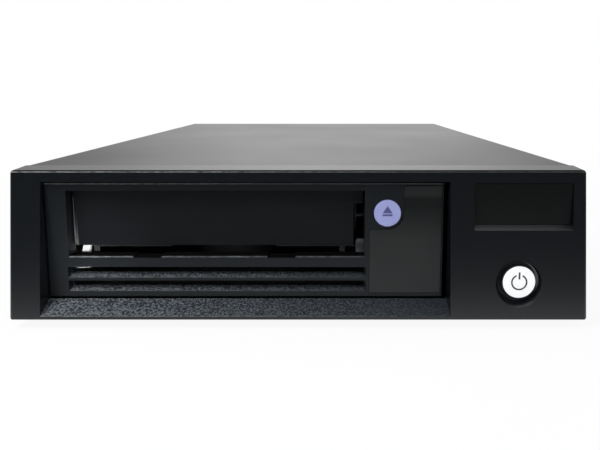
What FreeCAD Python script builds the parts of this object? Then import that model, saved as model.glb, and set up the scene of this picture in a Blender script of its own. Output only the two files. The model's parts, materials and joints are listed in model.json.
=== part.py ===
"""Desktop data tape drive: a half-height cartridge drive in its own sheet-metal case.

Frame: X to the right, Y from the front to the back, Z up, millimetres. The origin is at the
middle of the footprint, on the surface that the rubber feet stand on.

The case is a base pan with a rear wall and a folded top cover, closed at the front by a moulded
bezel whose face leans back. The drive module shows through the bezel's window. Behind its door
it holds a cartridge loader, the cartridge's reel driver, the tape path, the take-up reel and its
board. Behind the module are the power supply, the fan and the interface board.
"""
import FreeCAD, Part
import math
import os
import re
import Sketcher

V = FreeCAD.Vector
doc = FreeCAD.newDocument("TapeDrive")

# ---------------------------------------------------------------- driving dimensions, in mm
DIMENSIONS = {
    # the case
    "case_width": 213, "case_depth": 332, "case_height": 58.7, "sheet": 1,
    "foot_height": 4, "foot_radius": 7, "foot_inset_side": 18, "foot_inset_end": 26,
    "cover_width": 211, "rear_reach": 3, "flange_height": 10, "lip_height": 8,
    "bend_radius": 1.6,
    # the front bezel: lean is in degrees from upright
    "lean": 8, "bezel_bottom": 3.7, "bezel_depth": 19, "top_drop": 0.6, "bezel_wall": 2.4,
    "corner_radius": 1.3, "edge_radius": 1.1,
    "window_left": -95.1, "window_right": 56.1, "window_top": 53.9,
    "sill_front": 4.8, "sill_back": 8.8, "drive_face": -157, "tunnel_back": -155,
    # the blank badge and the power button
    "badge_left": 65.0, "badge_right": 101.5, "badge_top": 53.4, "badge_bottom": 37.9,
    "badge_face": -159.0, "badge_thick": 1.0, "ledge_slope": 0.71,
    "power_x": 81.3, "power_z": 17.4, "power_radius": 6.0, "power_bore": 6.3,
    "power_face": -164.4, "switch_board_y": -145.2, "bowl_rim": 8.5, "bowl_depth": 3.2,
    # the drive module
    "drive_left": -93, "drive_right": 53, "drive_bottom": 10, "drive_top": 52.6,
    "drive_front": -150.4, "drive_rear": 55, "drive_sheet": 1,
    "panel_left": -94.9, "panel_right": 54.4, "panel_bottom": 9.4, "panel_top": 53.1,
    "panel_wall": 3.4,
    "slot_left": -86.85, "slot_right": 24.8, "slot_bottom": 25.3, "slot_top": 50.4,
    "slot_lip": 0.45, "notch_width": 10.6, "notch_drop": 0.6, "notch_left": -57.2, "notch_right": -6.6,
    "vent_left": -87.4, "vent_right": 25.3, "vent_top_upper": 21.1, "vent_top_lower": 15.85,
    "vent_height": 4.1, "vent_rise": 1.5,
    "display_left": 26.5, "display_right": 53.7, "display_bottom": 10.9, "display_top": 52.3,
    "display_thick": 1.2,
    "eject_x": 33.2, "eject_z": 41.9, "eject_radius": 5.05, "eject_bore": 5.3,
    "eject_notch": 6.2, "display_board_y": -148.4,
    # the cartridge door
    "door_left": -86.3, "door_right": 20.8, "door_ear": 24.2, "door_ear_bottom": 44.8,
    "door_bottom": 28.5, "door_thick": 1.4, "door_facet": 1.7, "door_slope": 0.18,
    "hinge_y": -151.8, "hinge_z": 50.6, "hinge_rod": 0.8, "hinge_play": 0.06, "knuckle_radius": 1.25,
    # the cartridge, which sets the loader
    "cart_width": 105.4, "cart_x": -30.8,
    "cart_gap": 0.35, "tray_floor": 25.8, "tray_sheet": 0.8, "tray_front": -140,
    "tray_length": 73, "tray_sill": 13, "tray_sill_height": 2.2, "tray_side_height": 22.8,
    "load_travel": 20, "load_drop": 5, "pin_inset": 7, "pin_radius": 1.2, "slot_play": 0.12,
    "pin_height": 34, "side_gap": 3.2,
    # the reels and the tape path
    "driver_y": -99, "driver_radius": 17.5, "shaft_radius": 4, "shaft_play": 0.06,
    "deck_bottom": 15, "deck_top": 17, "deck_front": -38,
    "reel_x": -36, "reel_y": 6, "reel_radius": 38, "hub_radius": 17, "tape_middle": 31.7,
    "tape_width": 12.65, "flange": 1.4, "roller_radius": 5, "roller_shaft": 1.5,
    "threader_x": 40, "threader_y": 36, "threader_length": 68, "threader_angle": 256,
    "arm_low": 43, "arm_thick": 1.4, "pivot_radius": 2.5,
    # the rear fittings
    "fan_x": 24, "fan_z": 31, "fan_size": 40, "fan_depth": 20,
    "inlet_x": 78, "inlet_z": 31, "sas_z": 30, "socket_left": -75.5, "socket_right": -45.5,
    "board_thick": 1.6, "supply_left": 34, "supply_right": 101, "supply_front": 64,
    "supply_back": 136, "supply_lift": 4, "screw_head": 1.4, "hex_radius": 3
}
# Places worked out from the dimensions above. Each may use the ones before it.
PLACES = {
    "front": "-case_depth/2",
    "bezel_back": "-case_depth/2+bezel_depth",
    "rear": "case_depth/2-rear_reach",
    "bezel_top": "case_height-top_drop",
    "side": "cover_width/2",
    "pan_side": "cover_width/2-sheet-0.2",
    "pan_floor": "foot_height+sheet",
    "cover_inside": "case_height-sheet",
    "fan_front": "rear-sheet-fan_depth",
    "cart_left": "cart_x-cart_width/2-cart_gap",
    "cart_right": "cart_x+cart_width/2+cart_gap",
    "tray_rear": "tray_front+tray_length",
    "base_top": "drive_top-drive_sheet",
    "base_left": "drive_left+drive_sheet",
    "base_right": "drive_right-drive_sheet",
    "base_floor": "drive_bottom+drive_sheet",
    "panel_back": "drive_front",
    "tray_left": "cart_left-tray_sheet",
    "tray_right": "cart_right+tray_sheet",
    "tray_roof": "tray_floor+tray_side_height",
    "tape_low": "tape_middle-tape_width/2",
    "tape_high": "tape_middle+tape_width/2",
    "supply_top": "pan_floor+supply_lift+board_thick",
    "interface_top": "sas_z-5.6",
}

sheet = doc.addObject("Spreadsheet::Sheet", "Dimensions")
for row, (alias, number) in enumerate(DIMENSIONS.items(), start=1):
    sheet.set(f"A{row}", alias)
    sheet.set(f"B{row}", str(number))
    sheet.setAlias(f"B{row}", alias)
doc.recompute()


def ex(text):
    """An expression on the sheet's cells, from one on the plain names."""
    def swap(found):
        word = found.group(0)
        if word in PLACES:
            return "(" + ex(PLACES[word]) + ")"
        return "Dimensions." + word if word in DIMENSIONS else word
    return re.sub(r"[A-Za-z_]\w*", swap, str(text))


def value(text):
    """The number that an expression has now."""
    return float(sheet.evalExpression(ex(text)))


def bind(thing, prop, text):
    thing.setExpression(prop, ex(text))


def face_at(height):
    """The Y of the bezel's leaning face at a height."""
    return f"(front+(({height})-bezel_bottom)*tan(lean))"


# ---------------------------------------------------------------- primitives and booleans
TURNS = {
    "X": FreeCAD.Rotation(V(0, 1, 0), 90),
    "Y": FreeCAD.Rotation(V(1, 0, 0), -90),
    "Z": FreeCAD.Rotation(),
}
PARTS = {}


def part(thing, node):
    """Marks a finished sub-part: its label names its file."""
    thing.Label = node
    PARTS[node] = thing
    return thing


def box(name, x, y, z):
    """A block between two corners, given as a pair of expressions for each axis."""
    made = doc.addObject("Part::Box", name)
    for side, corner, (low, high) in zip(("Length", "Width", "Height"), "xyz", (x, y, z)):
        bind(made, side, f"({high})-({low})")
        bind(made, f"Placement.Base.{corner}", low)
    return made


def stand(thing, axis, centre, start):
    """Places a round primitive: its axis, where that axis lies, and where the piece starts."""
    thing.Placement = FreeCAD.Placement(V(), TURNS[axis])
    others = [c for c in "xyz" if c != axis.lower()]
    for corner, text in zip(others + [axis.lower()], list(centre) + [start]):
        bind(thing, f"Placement.Base.{corner}", text)
    return thing


def rod(name, axis, centre, radius, span):
    made = doc.addObject("Part::Cylinder", name)
    bind(made, "Radius", radius)
    bind(made, "Height", f"({span[1]})-({span[0]})")
    return stand(made, axis, centre, span[0])


def hexagon(name, centre, radius, span, axis="Z"):
    """A six-sided post or screw head, by the radius of its corners."""
    made = doc.addObject("Part::Prism", name)
    made.Polygon = 6
    bind(made, "Circumradius", radius)
    bind(made, "Height", f"({span[1]})-({span[0]})")
    return stand(made, axis, centre, span[0])


def fuse(name, *pieces):
    made = doc.addObject("Part::MultiFuse", name)
    made.Shapes = list(pieces)
    made.Refine = True
    return made


def cut(name, base, *tools):
    made = doc.addObject("Part::Cut", name)
    made.Base = base
    made.Tool = tools[0] if len(tools) == 1 else fuse(name + "Tools", *tools)
    made.Refine = True
    return made


def group(name, *pieces):
    """Separate solids that share one node."""
    made = doc.addObject("Part::Compound", name)
    made.Links = list(pieces)
    return made


# ---------------------------------------------------------------- PartDesign bodies
PLANES = {"X": "YZ_Plane", "Y": "XZ_Plane", "Z": "XY_Plane"}
NORMALS = {"X": 1, "Y": -1, "Z": 1}  # the sense of each plane's normal along its axis


class Moulding:
    """A PartDesign body and the steps that shape it, with sizes bound to the sheet."""

    def __init__(self, name):
        self.name = name
        self.body = doc.addObject("PartDesign::Body", name)
        self.count = 0

    def label(self, kind):
        self.count += 1
        return f"{self.name}{kind}{self.count}"

    def sketch(self, axis, at, origin=("0", "0")):
        """A sketch square to an axis, at a place along it. Origin moves its own zero point."""
        made = self.body.newObject("Sketcher::SketchObject", self.label("Sketch"))
        planes = [f for f in self.body.Origin.OriginFeatures if f.Role == PLANES[axis]]
        made.AttachmentSupport = (planes[0], [""])
        made.MapMode = "FlatFace"
        bind(made, "AttachmentOffset.Base.x", origin[0])
        bind(made, "AttachmentOffset.Base.y", origin[1])
        bind(made, "AttachmentOffset.Base.z", f"{NORMALS[axis]}*({at})")
        return made

    @staticmethod
    def outline(sketch, points):
        """A closed outline of straight edges through points given as expressions."""
        places = [(value(a), value(b)) for a, b in points]
        first = sketch.GeometryCount
        count = len(points)
        for i, place in enumerate(places):
            end = places[(i + 1) % count]
            sketch.addGeometry(Part.LineSegment(V(*place, 0), V(*end, 0)), False)
        for i in range(count):
            follower = first + (i + 1) % count
            sketch.addConstraint(Sketcher.Constraint("Coincident", first + i, 2, follower, 1))
        for i, (point, place) in enumerate(zip(points, places)):
            for kind, text, number in zip(("DistanceX", "DistanceY"), point, place):
                rule = Sketcher.Constraint(kind, -1, 1, first + i, 1, number)
                bind(sketch, f"Constraints[{sketch.addConstraint(rule)}]", text)

    @staticmethod
    def circle(sketch, centre, radius):
        place = V(value(centre[0]), value(centre[1]), 0)
        made = sketch.addGeometry(Part.Circle(place, V(0, 0, 1), value(radius)), False)
        for kind, text in zip(("DistanceX", "DistanceY"), centre):
            rule = Sketcher.Constraint(kind, -1, 1, made, 3, value(text))
            bind(sketch, f"Constraints[{sketch.addConstraint(rule)}]", text)
        rule = Sketcher.Constraint("Radius", made, value(radius))
        bind(sketch, f"Constraints[{sketch.addConstraint(rule)}]", radius)

    def extrude(self, kind, axis, span, outlines=(), circles=()):
        """A Pad or a Pocket between two places along an axis, checked to change the volume."""
        low, high = span
        adds = kind == "Pad"
        starts_low = (NORMALS[axis] > 0) == adds
        made = self.sketch(axis, low if starts_low else high)
        for points in outlines:
            self.outline(made, points)
        for centre, radius in circles:
            self.circle(made, centre, radius)
        before = self.volume()
        feature = self.body.newObject(f"PartDesign::{kind}", self.label(kind))
        feature.Profile = made
        bind(feature, "Length", f"({high})-({low})")
        doc.recompute()
        assert (self.volume() > before) == adds, f"{feature.Name} changed nothing"
        return feature

    def pad(self, axis, span, outlines=(), circles=()):
        return self.extrude("Pad", axis, span, outlines, circles)

    def pocket(self, axis, span, outlines=(), circles=()):
        return self.extrude("Pocket", axis, span, outlines, circles)

    def turn(self, kind, axis, centre, points):
        """A Revolution or a Groove about an upright or lengthways axis. Points are (radius, place)."""
        if axis == "Z":
            made = self.sketch("Y", centre[1], (centre[0], "0"))
        else:
            made = self.sketch("Z", centre[1], (centre[0], "0"))
        self.outline(made, points)
        feature = self.body.newObject(f"PartDesign::{kind}", self.label(kind))
        feature.Profile = made
        feature.ReferenceAxis = (made, ["V_Axis"])
        feature.Angle = 360
        doc.recompute()
        return feature

    def around(self, feature, times):
        """Repeats a feature round the axis of the body's last turned sketch."""
        axis = next(f for f in reversed(self.body.Group)
                    if f.TypeId in ("PartDesign::Revolution", "PartDesign::Groove")).Profile[0]
        made = self.body.newObject("PartDesign::PolarPattern", self.label("Pattern"))
        made.Originals = [feature]
        made.Axis = (axis, ["V_Axis"])
        made.Angle = 360
        made.Occurrences = times
        self.body.Tip = made
        doc.recompute()
        return made

    def soften(self, kind, size, chosen):
        """A Fillet or a Chamfer on the edges that a test on their two ends chooses."""
        tip = self.body.Tip
        names = []
        for i, edge in enumerate(tip.Shape.Edges, start=1):
            ends = [v.Point for v in edge.Vertexes]
            if len(ends) == 2 and chosen(*ends):
                names.append(f"Edge{i}")
        assert names, f"{self.name} has no edge to soften"
        made = self.body.newObject(f"PartDesign::{kind}", self.label(kind))
        made.Base = (tip, names)
        bind(made, "Radius" if kind == "Fillet" else "Size", size)
        doc.recompute()
        return made

    def volume(self):
        tip = self.body.Tip
        return tip.Shape.Volume if tip and not tip.Shape.isNull() else 0.0

    def finish(self, node):
        return part(self.body, node)


def rectangle(x, y):
    """The four corners between two pairs of expressions."""
    return [(x[0], y[0]), (x[1], y[0]), (x[1], y[1]), (x[0], y[1])]


def near(a, b):
    return abs(a - b) < 1e-3


# ---------------------------------------------------------------- the case
FAN_CORNERS = [(dx, dz) for dx in (-16, 16) for dz in (-16, 16)]
COVER_SCREWS = (-92, 0, 92)
DRIVE_POSTS = [(x, y) for x in (-80, 40) for y in (-128, 30)]
GRILLE_PITCH, GRILLE_SLOT, GRILLE_BRIDGE, GRILLE_RADIUS = 4.8, 3.0, 1.2, 17.6


def make_base_pan():
    """Folded pan: floor, short side flanges and the rear wall with its openings."""
    pan = Moulding("BasePan")
    inner, flange_top = "pan_side-sheet", "foot_height+flange_height"
    pan.pad("Y", ("front+12", "rear"), [[
        ("-pan_side", "foot_height"), ("pan_side", "foot_height"),
        ("pan_side", flange_top), (inner, flange_top), (inner, "pan_floor"),
        (f"-({inner})", "pan_floor"), (f"-({inner})", flange_top), ("-pan_side", flange_top),
    ]])
    pan.pad("Y", ("rear-sheet", "rear"),
            [rectangle(("-pan_side", "pan_side"), ("pan_floor-sheet/2", "cover_inside-0.3"))])
    low, side = value("foot_height"), value("pan_side")
    pan.soften("Fillet", "0.9*sheet", lambda a, b: near(a.z, low) and near(b.z, low)
               and near(abs(a.x), side) and near(abs(b.x), side) and abs(a.y - b.y) > 100)
    # only the floor runs on into the bezel
    for reach in (("-pan_side-1", f"1-({inner})"), (f"{inner}-1", "pan_side+1")):
        pan.pocket("Y", ("front+11", "bezel_back+0.3"),
                   [rectangle(reach, ("pan_floor", f"{flange_top}+1"))])
    wall = ("rear-sheet-1", "rear+1")
    sockets = [rectangle((f"{x}-12.4", f"{x}+12.4"), ("sas_z-6", "sas_z+6"))
               for x in ("socket_left", "socket_right")]
    inlet = rectangle(("inlet_x-13.8", "inlet_x+13.8"), ("inlet_z-10.2", "inlet_z+10.2"))
    pan.pocket("Y", wall, sockets + fan_grille() + [inlet])
    pan.finish("base_pan")


def fan_grille():
    """Upright slots that fill the fan's circle, as pairs that fall short of its rim."""
    slots = []
    for n in range(-3, 4):
        offset = n * GRILLE_PITCH
        reach = math.sqrt(GRILLE_RADIUS ** 2 - offset ** 2)
        x = (f"fan_x+{offset}-{GRILLE_SLOT}/2", f"fan_x+{offset}+{GRILLE_SLOT}/2")
        slots.append(rectangle(x, (f"fan_z+{GRILLE_BRIDGE}", f"fan_z+{reach:.2f}")))
        slots.append(rectangle(x, (f"fan_z-{reach:.2f}", f"fan_z-{GRILLE_BRIDGE}")))
    return slots


def make_top_cover():
    """Folded cover: top, two sides, and a lip at the back that laps over the rear wall."""
    cover = Moulding("TopCover")
    inner, hem = "side-sheet", "foot_height+0.6"
    cover.pad("Y", ("bezel_back", "rear"), [[
        ("-side", hem), ("-side", "case_height"), ("side", "case_height"), ("side", hem),
        (inner, hem), (inner, "cover_inside"), (f"-({inner})", "cover_inside"),
        (f"-({inner})", hem),
    ]])
    cover.pad("Y", ("rear", "rear+sheet"),
              [rectangle(("-side", "side"), ("case_height-lip_height", "case_height"))])
    top, side = value("case_height"), value("side")
    cover.soften("Fillet", "bend_radius", lambda a, b: near(a.z, top) and near(b.z, top)
                 and near(abs(a.x), side) and near(abs(b.x), side) and abs(a.y - b.y) > 100)
    back = value("rear+sheet")
    cover.soften("Fillet", "0.9*sheet", lambda a, b: near(a.z, top) and near(b.z, top)
                 and near(a.y, back) and near(b.y, back))
    cover.finish("top_cover")


def make_front_bezel():
    """Moulded bezel: a leaning face, a window that deepens towards a sloping sill, a pocket for
    the badge with a sloping ledge, and a bowl round the power button."""
    bezel = Moulding("FrontBezel")
    half = "case_width/2"
    inside = f"({half})-bezel_wall"
    # the outer form, by its side view
    bezel.pad("X", (f"-({half})", half), [[
        ("front", "bezel_bottom"), ("bezel_back", "bezel_bottom"),
        ("bezel_back", "case_height"), (face_at("bezel_top"), "bezel_top"),
    ]])
    side, middle = value(half), value("case_height/2")
    bezel.soften("Fillet", "corner_radius", lambda a, b: near(abs(a.x), side)
                 and near(abs(b.x), side) and abs(a.y - b.y) > 5)
    bezel.soften("Fillet", "edge_radius", lambda a, b: abs(b.x - a.x) > 100
                 and a.y < -155 and min(a.z, b.z) > middle)
    # the hollow behind the face, beside the window and right across its back
    floor, roof = "bezel_bottom+bezel_wall", "case_height-bezel_wall"
    joint = "tunnel_back+0.5"
    bezel.pocket("X", (f"-({inside})", inside), [[
        ("tunnel_back", floor), ("bezel_back+1", floor), ("bezel_back+1", roof),
        ("tunnel_back", roof),
    ]])
    low = (face_at(floor) + "+bezel_wall", floor)
    high = (face_at(roof) + "+bezel_wall", roof)
    bezel.pocket("X", (f"-({inside})", "window_left-2"),
                 [[low, (joint, floor), (joint, roof), high]])
    behind_badge, under_badge = "badge_face+badge_thick+2", "badge_bottom-6"
    bezel.pocket("X", ("window_right+2", inside), [[
        low, (joint, floor), (joint, roof), (behind_badge, roof), (behind_badge, under_badge),
        (face_at(under_badge) + "+bezel_wall", under_badge),
    ]])
    # the boss of the power button, trimmed to the leaning face, and two ribs for its board
    boss = "power_radius+4"
    bezel.pad("Y", (face_at("power_z-8"), "drive_face"), [rectangle(
        (f"power_x-({boss})", f"power_x+{boss}"), (f"power_z-({boss})", f"power_z+{boss}"))])
    bezel.pocket("X", ("power_x-20", "power_x+20"), [[
        ("front-5", "bezel_bottom"), (face_at("bezel_bottom"), "bezel_bottom"),
        (face_at("power_z+14"), "power_z+14"), ("front-5", "power_z+14"),
    ]])
    bezel.pad("Y", ("-162", "switch_board_y"), [
        rectangle((f"power_x{side_x}-1", f"power_x{side_x}+1"), ("power_z-6", "power_z+6"))
        for side_x in ("-10.6", "+10.6")])
    # the window with its sill
    slope = "(sill_back-sill_front)/(drive_face-" + face_at("sill_front") + ")"
    bezel.pocket("X", ("window_left", "window_right"), [[
        ("front-6", f"sill_front-({slope})*({face_at('sill_front')}-front+6)"),
        ("drive_face", "sill_back"), ("tunnel_back+1", "sill_back"),
        ("tunnel_back+1", "window_top"), ("front-6", "window_top"),
    ]])
    # the badge pocket with its ledge, and the bowl and bore of the power button
    bezel.pocket("X", ("badge_left", "badge_right"), [[
        ("badge_face+badge_thick", "badge_bottom"), ("badge_face+badge_thick", "badge_top"),
        ("front-4", "badge_top"),
        ("front-4", "badge_bottom-ledge_slope*(badge_face-front+4)"),
        ("badge_face", "badge_bottom"),
    ]])
    rim = face_at("power_z")
    flare = "(bowl_rim-power_bore-0.3)/bowl_depth"
    bezel.turn("Groove", "Y", ("power_x", "power_z"), [
        ("0", "front-4"), (f"bowl_rim+({rim}-front+4)*({flare})", "front-4"),
        ("power_bore+0.3", f"{rim}+bowl_depth"), ("power_bore", f"{rim}+bowl_depth"),
        ("power_bore", "-150"), ("0", "-150"),
    ])
    # snap tabs that reach under the cover and over the pan
    for x in (-80, 70):
        bezel.pad("Y", ("bezel_back-3", "bezel_back+6"), [
            rectangle((f"{x}-6", f"{x}+6"), ("cover_inside-1.9", "cover_inside-0.1")),
            rectangle((f"{x}-6", f"{x}+6"), ("pan_floor+0.1", "pan_floor+1.7"))])
    # room for the pan's floor, which runs forward over the bezel's bottom wall
    bezel.pocket("Z", ("bezel_bottom-1", "pan_floor+0.05"), [
        rectangle(("-pan_side-0.1", "pan_side+0.1"), ("front+11.9", "bezel_back+1"))])
    bezel.finish("front_bezel")
    badge = Moulding("BadgePlate")
    badge.pad("Y", ("badge_face", "badge_face+badge_thick"), [
        rectangle(("badge_left+0.1", "badge_right-0.1"), ("badge_bottom+0.1", "badge_top-0.1"))])
    badge.finish("badge_plate")


def make_feet_and_screws():
    feet = [rod(f"Foot{n}", "Z", (f"{sx}*(side-foot_inset_side)",
                                  f"{sy}*(case_depth/2-foot_inset_end)"),
                "foot_radius", ("0", "foot_height"))
            for n, (sx, sy) in enumerate(((-1, -1), (1, -1), (1, 1), (-1, 1)))]
    part(group("RubberFeet", *feet), "rubber_feet")
    back = [hexagon(f"CoverScrew{n}", (str(x), "case_height-lip_height/2-0.6"), "hex_radius",
                    ("rear+sheet", "rear+sheet+screw_head"), "Y")
            for n, x in enumerate(COVER_SCREWS)]
    part(group("CoverScrews", *back), "cover_screws")
    posts = [hexagon(f"Standoff{n}", (str(x), str(y)), "hex_radius+1",
                     ("pan_floor", "drive_bottom"))
             for n, (x, y) in enumerate(DRIVE_POSTS)]
    part(group("Standoffs", *posts), "drive_standoffs")
    heads = [hexagon(f"DriveScrew{n}", (str(x), str(y)), "hex_radius",
                     ("foot_height-screw_head", "foot_height"))
             for n, (x, y) in enumerate(DRIVE_POSTS)]
    part(group("DriveScrews", *heads), "drive_screws")


# ---------------------------------------------------------------- the power button
def make_power_button():
    button = Moulding("PowerButton")
    back = "drive_face+0.3"
    button.turn("Revolution", "Y", ("power_x", "power_z"), [
        ("0", "power_face"), ("power_radius-0.5", "power_face"),
        ("power_radius", "power_face+0.5"), ("power_radius", back), ("0", back)])
    reach = "power_radius+1.2"
    button.pad("Y", (back, f"{back}+1"), [rectangle(
        (f"power_x-({reach})", f"power_x+({reach})"), ("power_z-5", "power_z+5"))])
    button.pad("Y", (f"{back}+1", "switch_board_y-5.4"), [rectangle(
        ("power_x-2", "power_x+2"), ("power_z-2", "power_z+2"))])
    button.finish("power_button")
    case = box("PowerSwitchCase", ("power_x-4", "power_x+4"),
               ("switch_board_y-3", "switch_board_y"), ("power_z-4", "power_z+4"))
    plunger = box("PowerSwitchPlunger", ("power_x-1.5", "power_x+1.5"),
                  ("switch_board_y-3.8", "switch_board_y-3"), ("power_z-1.5", "power_z+1.5"))
    part(fuse("PowerSwitch", case, plunger), "power_switch")
    part(box("SwitchBoard", ("power_x-12", "power_x+12"),
             ("switch_board_y", "switch_board_y+board_thick"), ("power_z-9.4", "power_z+10.2")),
         "switch_board")


# ---------------------------------------------------------------- the drive module's shell
def make_drive_shell():
    base = Moulding("DriveBase")
    wall, far = "base_left+drive_sheet", "base_right-drive_sheet"
    base.pad("Y", ("drive_front", "drive_rear"), [[
        ("base_left", "drive_bottom"), ("base_right", "drive_bottom"), ("base_right", "base_top"),
        (far, "base_top"), (far, "base_floor"), (wall, "base_floor"), (wall, "base_top"),
        ("base_left", "base_top"),
    ]])
    base.pad("Y", ("drive_rear-drive_sheet", "drive_rear"),
             [rectangle((wall, far), ("base_floor-0.2", "base_top"))])
    base.pocket("Y", ("drive_rear-2", "drive_rear+1"), [
        rectangle(("-56.3", "-13.7"), ("base_floor", "17.3")),
        rectangle(("33.9", "48.1"), ("13", "20"))])
    base.finish("drive_base")
    lid = Moulding("DriveCover")
    skirt = "base_top-9"
    lid.pad("Y", ("drive_front", "drive_rear"), [[
        ("drive_left", skirt), ("drive_left", "drive_top"), ("drive_right", "drive_top"),
        ("drive_right", skirt), ("base_right", skirt), ("base_right", "base_top"),
        ("base_left", "base_top"), ("base_left", skirt),
    ]])
    lid.finish("drive_cover")


def make_drive_bezel():
    """The module's own face: cartridge slot with two finger notches, two sloping air louvres,
    the pocket of the display window, and the eject button's hole."""
    panel = Moulding("DriveBezel")
    skin, past = "drive_face+panel_wall", "panel_back+1"
    before = "drive_face-1"
    rib = "1.6"
    panel.pad("Y", ("drive_face", "panel_back"),
              [rectangle(("panel_left", "panel_right"), ("panel_bottom", "panel_top"))])
    face = value("drive_face")
    panel.soften("Fillet", "0.5", lambda a, b: near(a.y, face) and near(b.y, face))
    # hollow back, leaving the tunnel of the slot
    panel.pocket("Y", (skin, past), [
        rectangle(("display_left+1", f"panel_right-{rib}"),
                  (f"panel_bottom+{rib}", f"panel_top-{rib}")),
        rectangle((f"panel_left+{rib}", f"slot_left-{rib}"),
                  (f"panel_bottom+{rib}", f"panel_top-{rib}")),
        rectangle(("slot_left", "slot_right"), (f"panel_bottom+{rib}", "slot_bottom-1.8"))])
    panel.pocket("Y", (before, past),
                 [rectangle(("slot_left", "slot_right"), ("slot_bottom", "slot_top"))])
    # behind the top bar the roof is higher, for the door's knuckles and rod
    panel.pocket("Y", ("drive_face+2.2", past),
                 [rectangle(("slot_left", "slot_right"), ("slot_top-1", "hinge_z+1.6"))])
    seat = "hinge_rod+0.02"
    panel.pocket("X", ("slot_left-1.5", "slot_right+1.5"), [rectangle(
        (f"hinge_y-({seat})", f"hinge_y+{seat}"), (f"hinge_z-({seat})", f"hinge_z+{seat}"))])
    panel.pocket("Y", (before, past), [
        rectangle((f"{x}-notch_width/2", f"{x}+notch_width/2"),
                  ("slot_bottom-notch_drop", "slot_bottom+0.5"))
        for x in ("notch_left", "notch_right")])
    lip = value("slot_bottom")
    panel.soften("Chamfer", "slot_lip", lambda a, b: near(a.y, face) and near(b.y, face)
                 and near(a.z, lip) and near(b.z, lip) and abs(a.x - b.x) > 5)
    for top in ("vent_top_upper", "vent_top_lower"):
        low = f"{top}-vent_height"
        panel.pocket("X", ("vent_left", "vent_right"), [[
            (before, f"{low}-vent_rise/panel_wall"), (skin + "+0.2", f"{low}+vent_rise"),
            (skin + "+0.2", top), (before, top)]])
    # the display window's pocket, the land round the eject button, and the button's bore
    depth = ("drive_face", "drive_face+display_thick")
    panel.pocket("Y", (before, depth[1]), [
        rectangle(("display_left", "display_right"), ("display_bottom", "display_top"))])
    land = "eject_notch-0.1"
    panel.pad("Y", depth, circles=[(("eject_x", "eject_z"), land)])
    panel.pad("Y", depth, [rectangle(("display_left-0.2", "eject_x"),
                                     (f"eject_z-({land})", "display_top+0.2"))])
    panel.pad("Y", depth, [rectangle(("eject_x-1", f"eject_x+{land}"),
                                     ("eject_z", "display_top+0.2"))])
    panel.pocket("Y", (before, past), circles=[(("eject_x", "eject_z"), "eject_bore")])
    panel.pocket("Y", ("drive_face", skin + "+1"), [
        rectangle(("eject_x+8", "display_right-3"), ("display_bottom+4", "display_bottom+20"))])
    # two posts that carry the display's board
    panel.pad("Y", (f"{skin}-0.5", "display_board_y"), [
        rectangle((f"{x}-1.5", f"{x}+1.5"), (f"{z}-1.5", f"{z}+1.5"))
        for x, z in ((30, 16.5), (47.5, 47))])
    panel.finish("drive_bezel")
    # the smoked window wraps round the eject button
    plate = box("WindowBlank", ("display_left+0.1", "display_right-0.1"),
                ("drive_face-0.1", depth[1]), ("display_bottom+0.1", "display_top-0.1"))
    through = (before, f"{depth[1]}+1")
    notch = [
        rod("WindowNotchRound", "Y", ("eject_x", "eject_z"), "eject_notch", through),
        box("WindowNotchSide", ("display_left-1", "eject_x"), through,
            ("eject_z-eject_notch", "display_top+1")),
        box("WindowNotchTop", ("eject_x-1", "eject_x+eject_notch"), through,
            ("eject_z", "display_top+1")),
    ]
    part(cut("StatusWindow", plate, *notch), "status_window")


def make_eject_button():
    button = Moulding("EjectButton")
    back = "drive_face+panel_wall+0.2"
    button.turn("Revolution", "Y", ("eject_x", "eject_z"), [
        ("0", "drive_face-0.8"), ("eject_radius-0.5", "drive_face-0.8"),
        ("eject_radius", "drive_face-0.3"), ("eject_radius", back), ("0", back)])
    button.pad("Y", (back, f"{back}+0.8"), [rectangle(
        ("eject_x-4", "eject_x+4"), ("eject_z-6.2", "eject_z+6.2"))])
    button.pad("Y", (f"{back}+0.8", "display_board_y-3"), [rectangle(
        ("eject_x-1.6", "eject_x+1.6"), ("eject_z-1.6", "eject_z+1.6"))])
    button.finish("eject_button")
    case = box("EjectSwitchCase", ("eject_x-3", "eject_x+3"),
               ("display_board_y-1.2", "display_board_y"), ("eject_z-3", "eject_z+3"))
    plunger = box("EjectSwitchPlunger", ("eject_x-1.3", "eject_x+1.3"),
                  ("display_board_y-1.8", "display_board_y-1.2"), ("eject_z-1.3", "eject_z+1.3"))
    part(fuse("EjectSwitch", case, plunger), "eject_switch")
    part(box("DisplayBoard", ("28", "50.4"), ("display_board_y", "display_board_y+1.4"),
             ("14", "49.8")), "display_board")
    part(box("DigitDisplay", ("eject_x+10", "eject_x+16"),
             ("display_board_y-4", "display_board_y"), ("20", "29")), "digit_display")
    lamps = [box(f"Lamp{n}", ("eject_x-1", "eject_x+0.6"), ("display_board_y-1", "display_board_y"),
                 (f"{z}-0.5", f"{z}+0.5")) for n, z in enumerate((17, 22, 27, 32))]
    part(group("StatusLamps", *lamps), "status_lamps")


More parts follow.
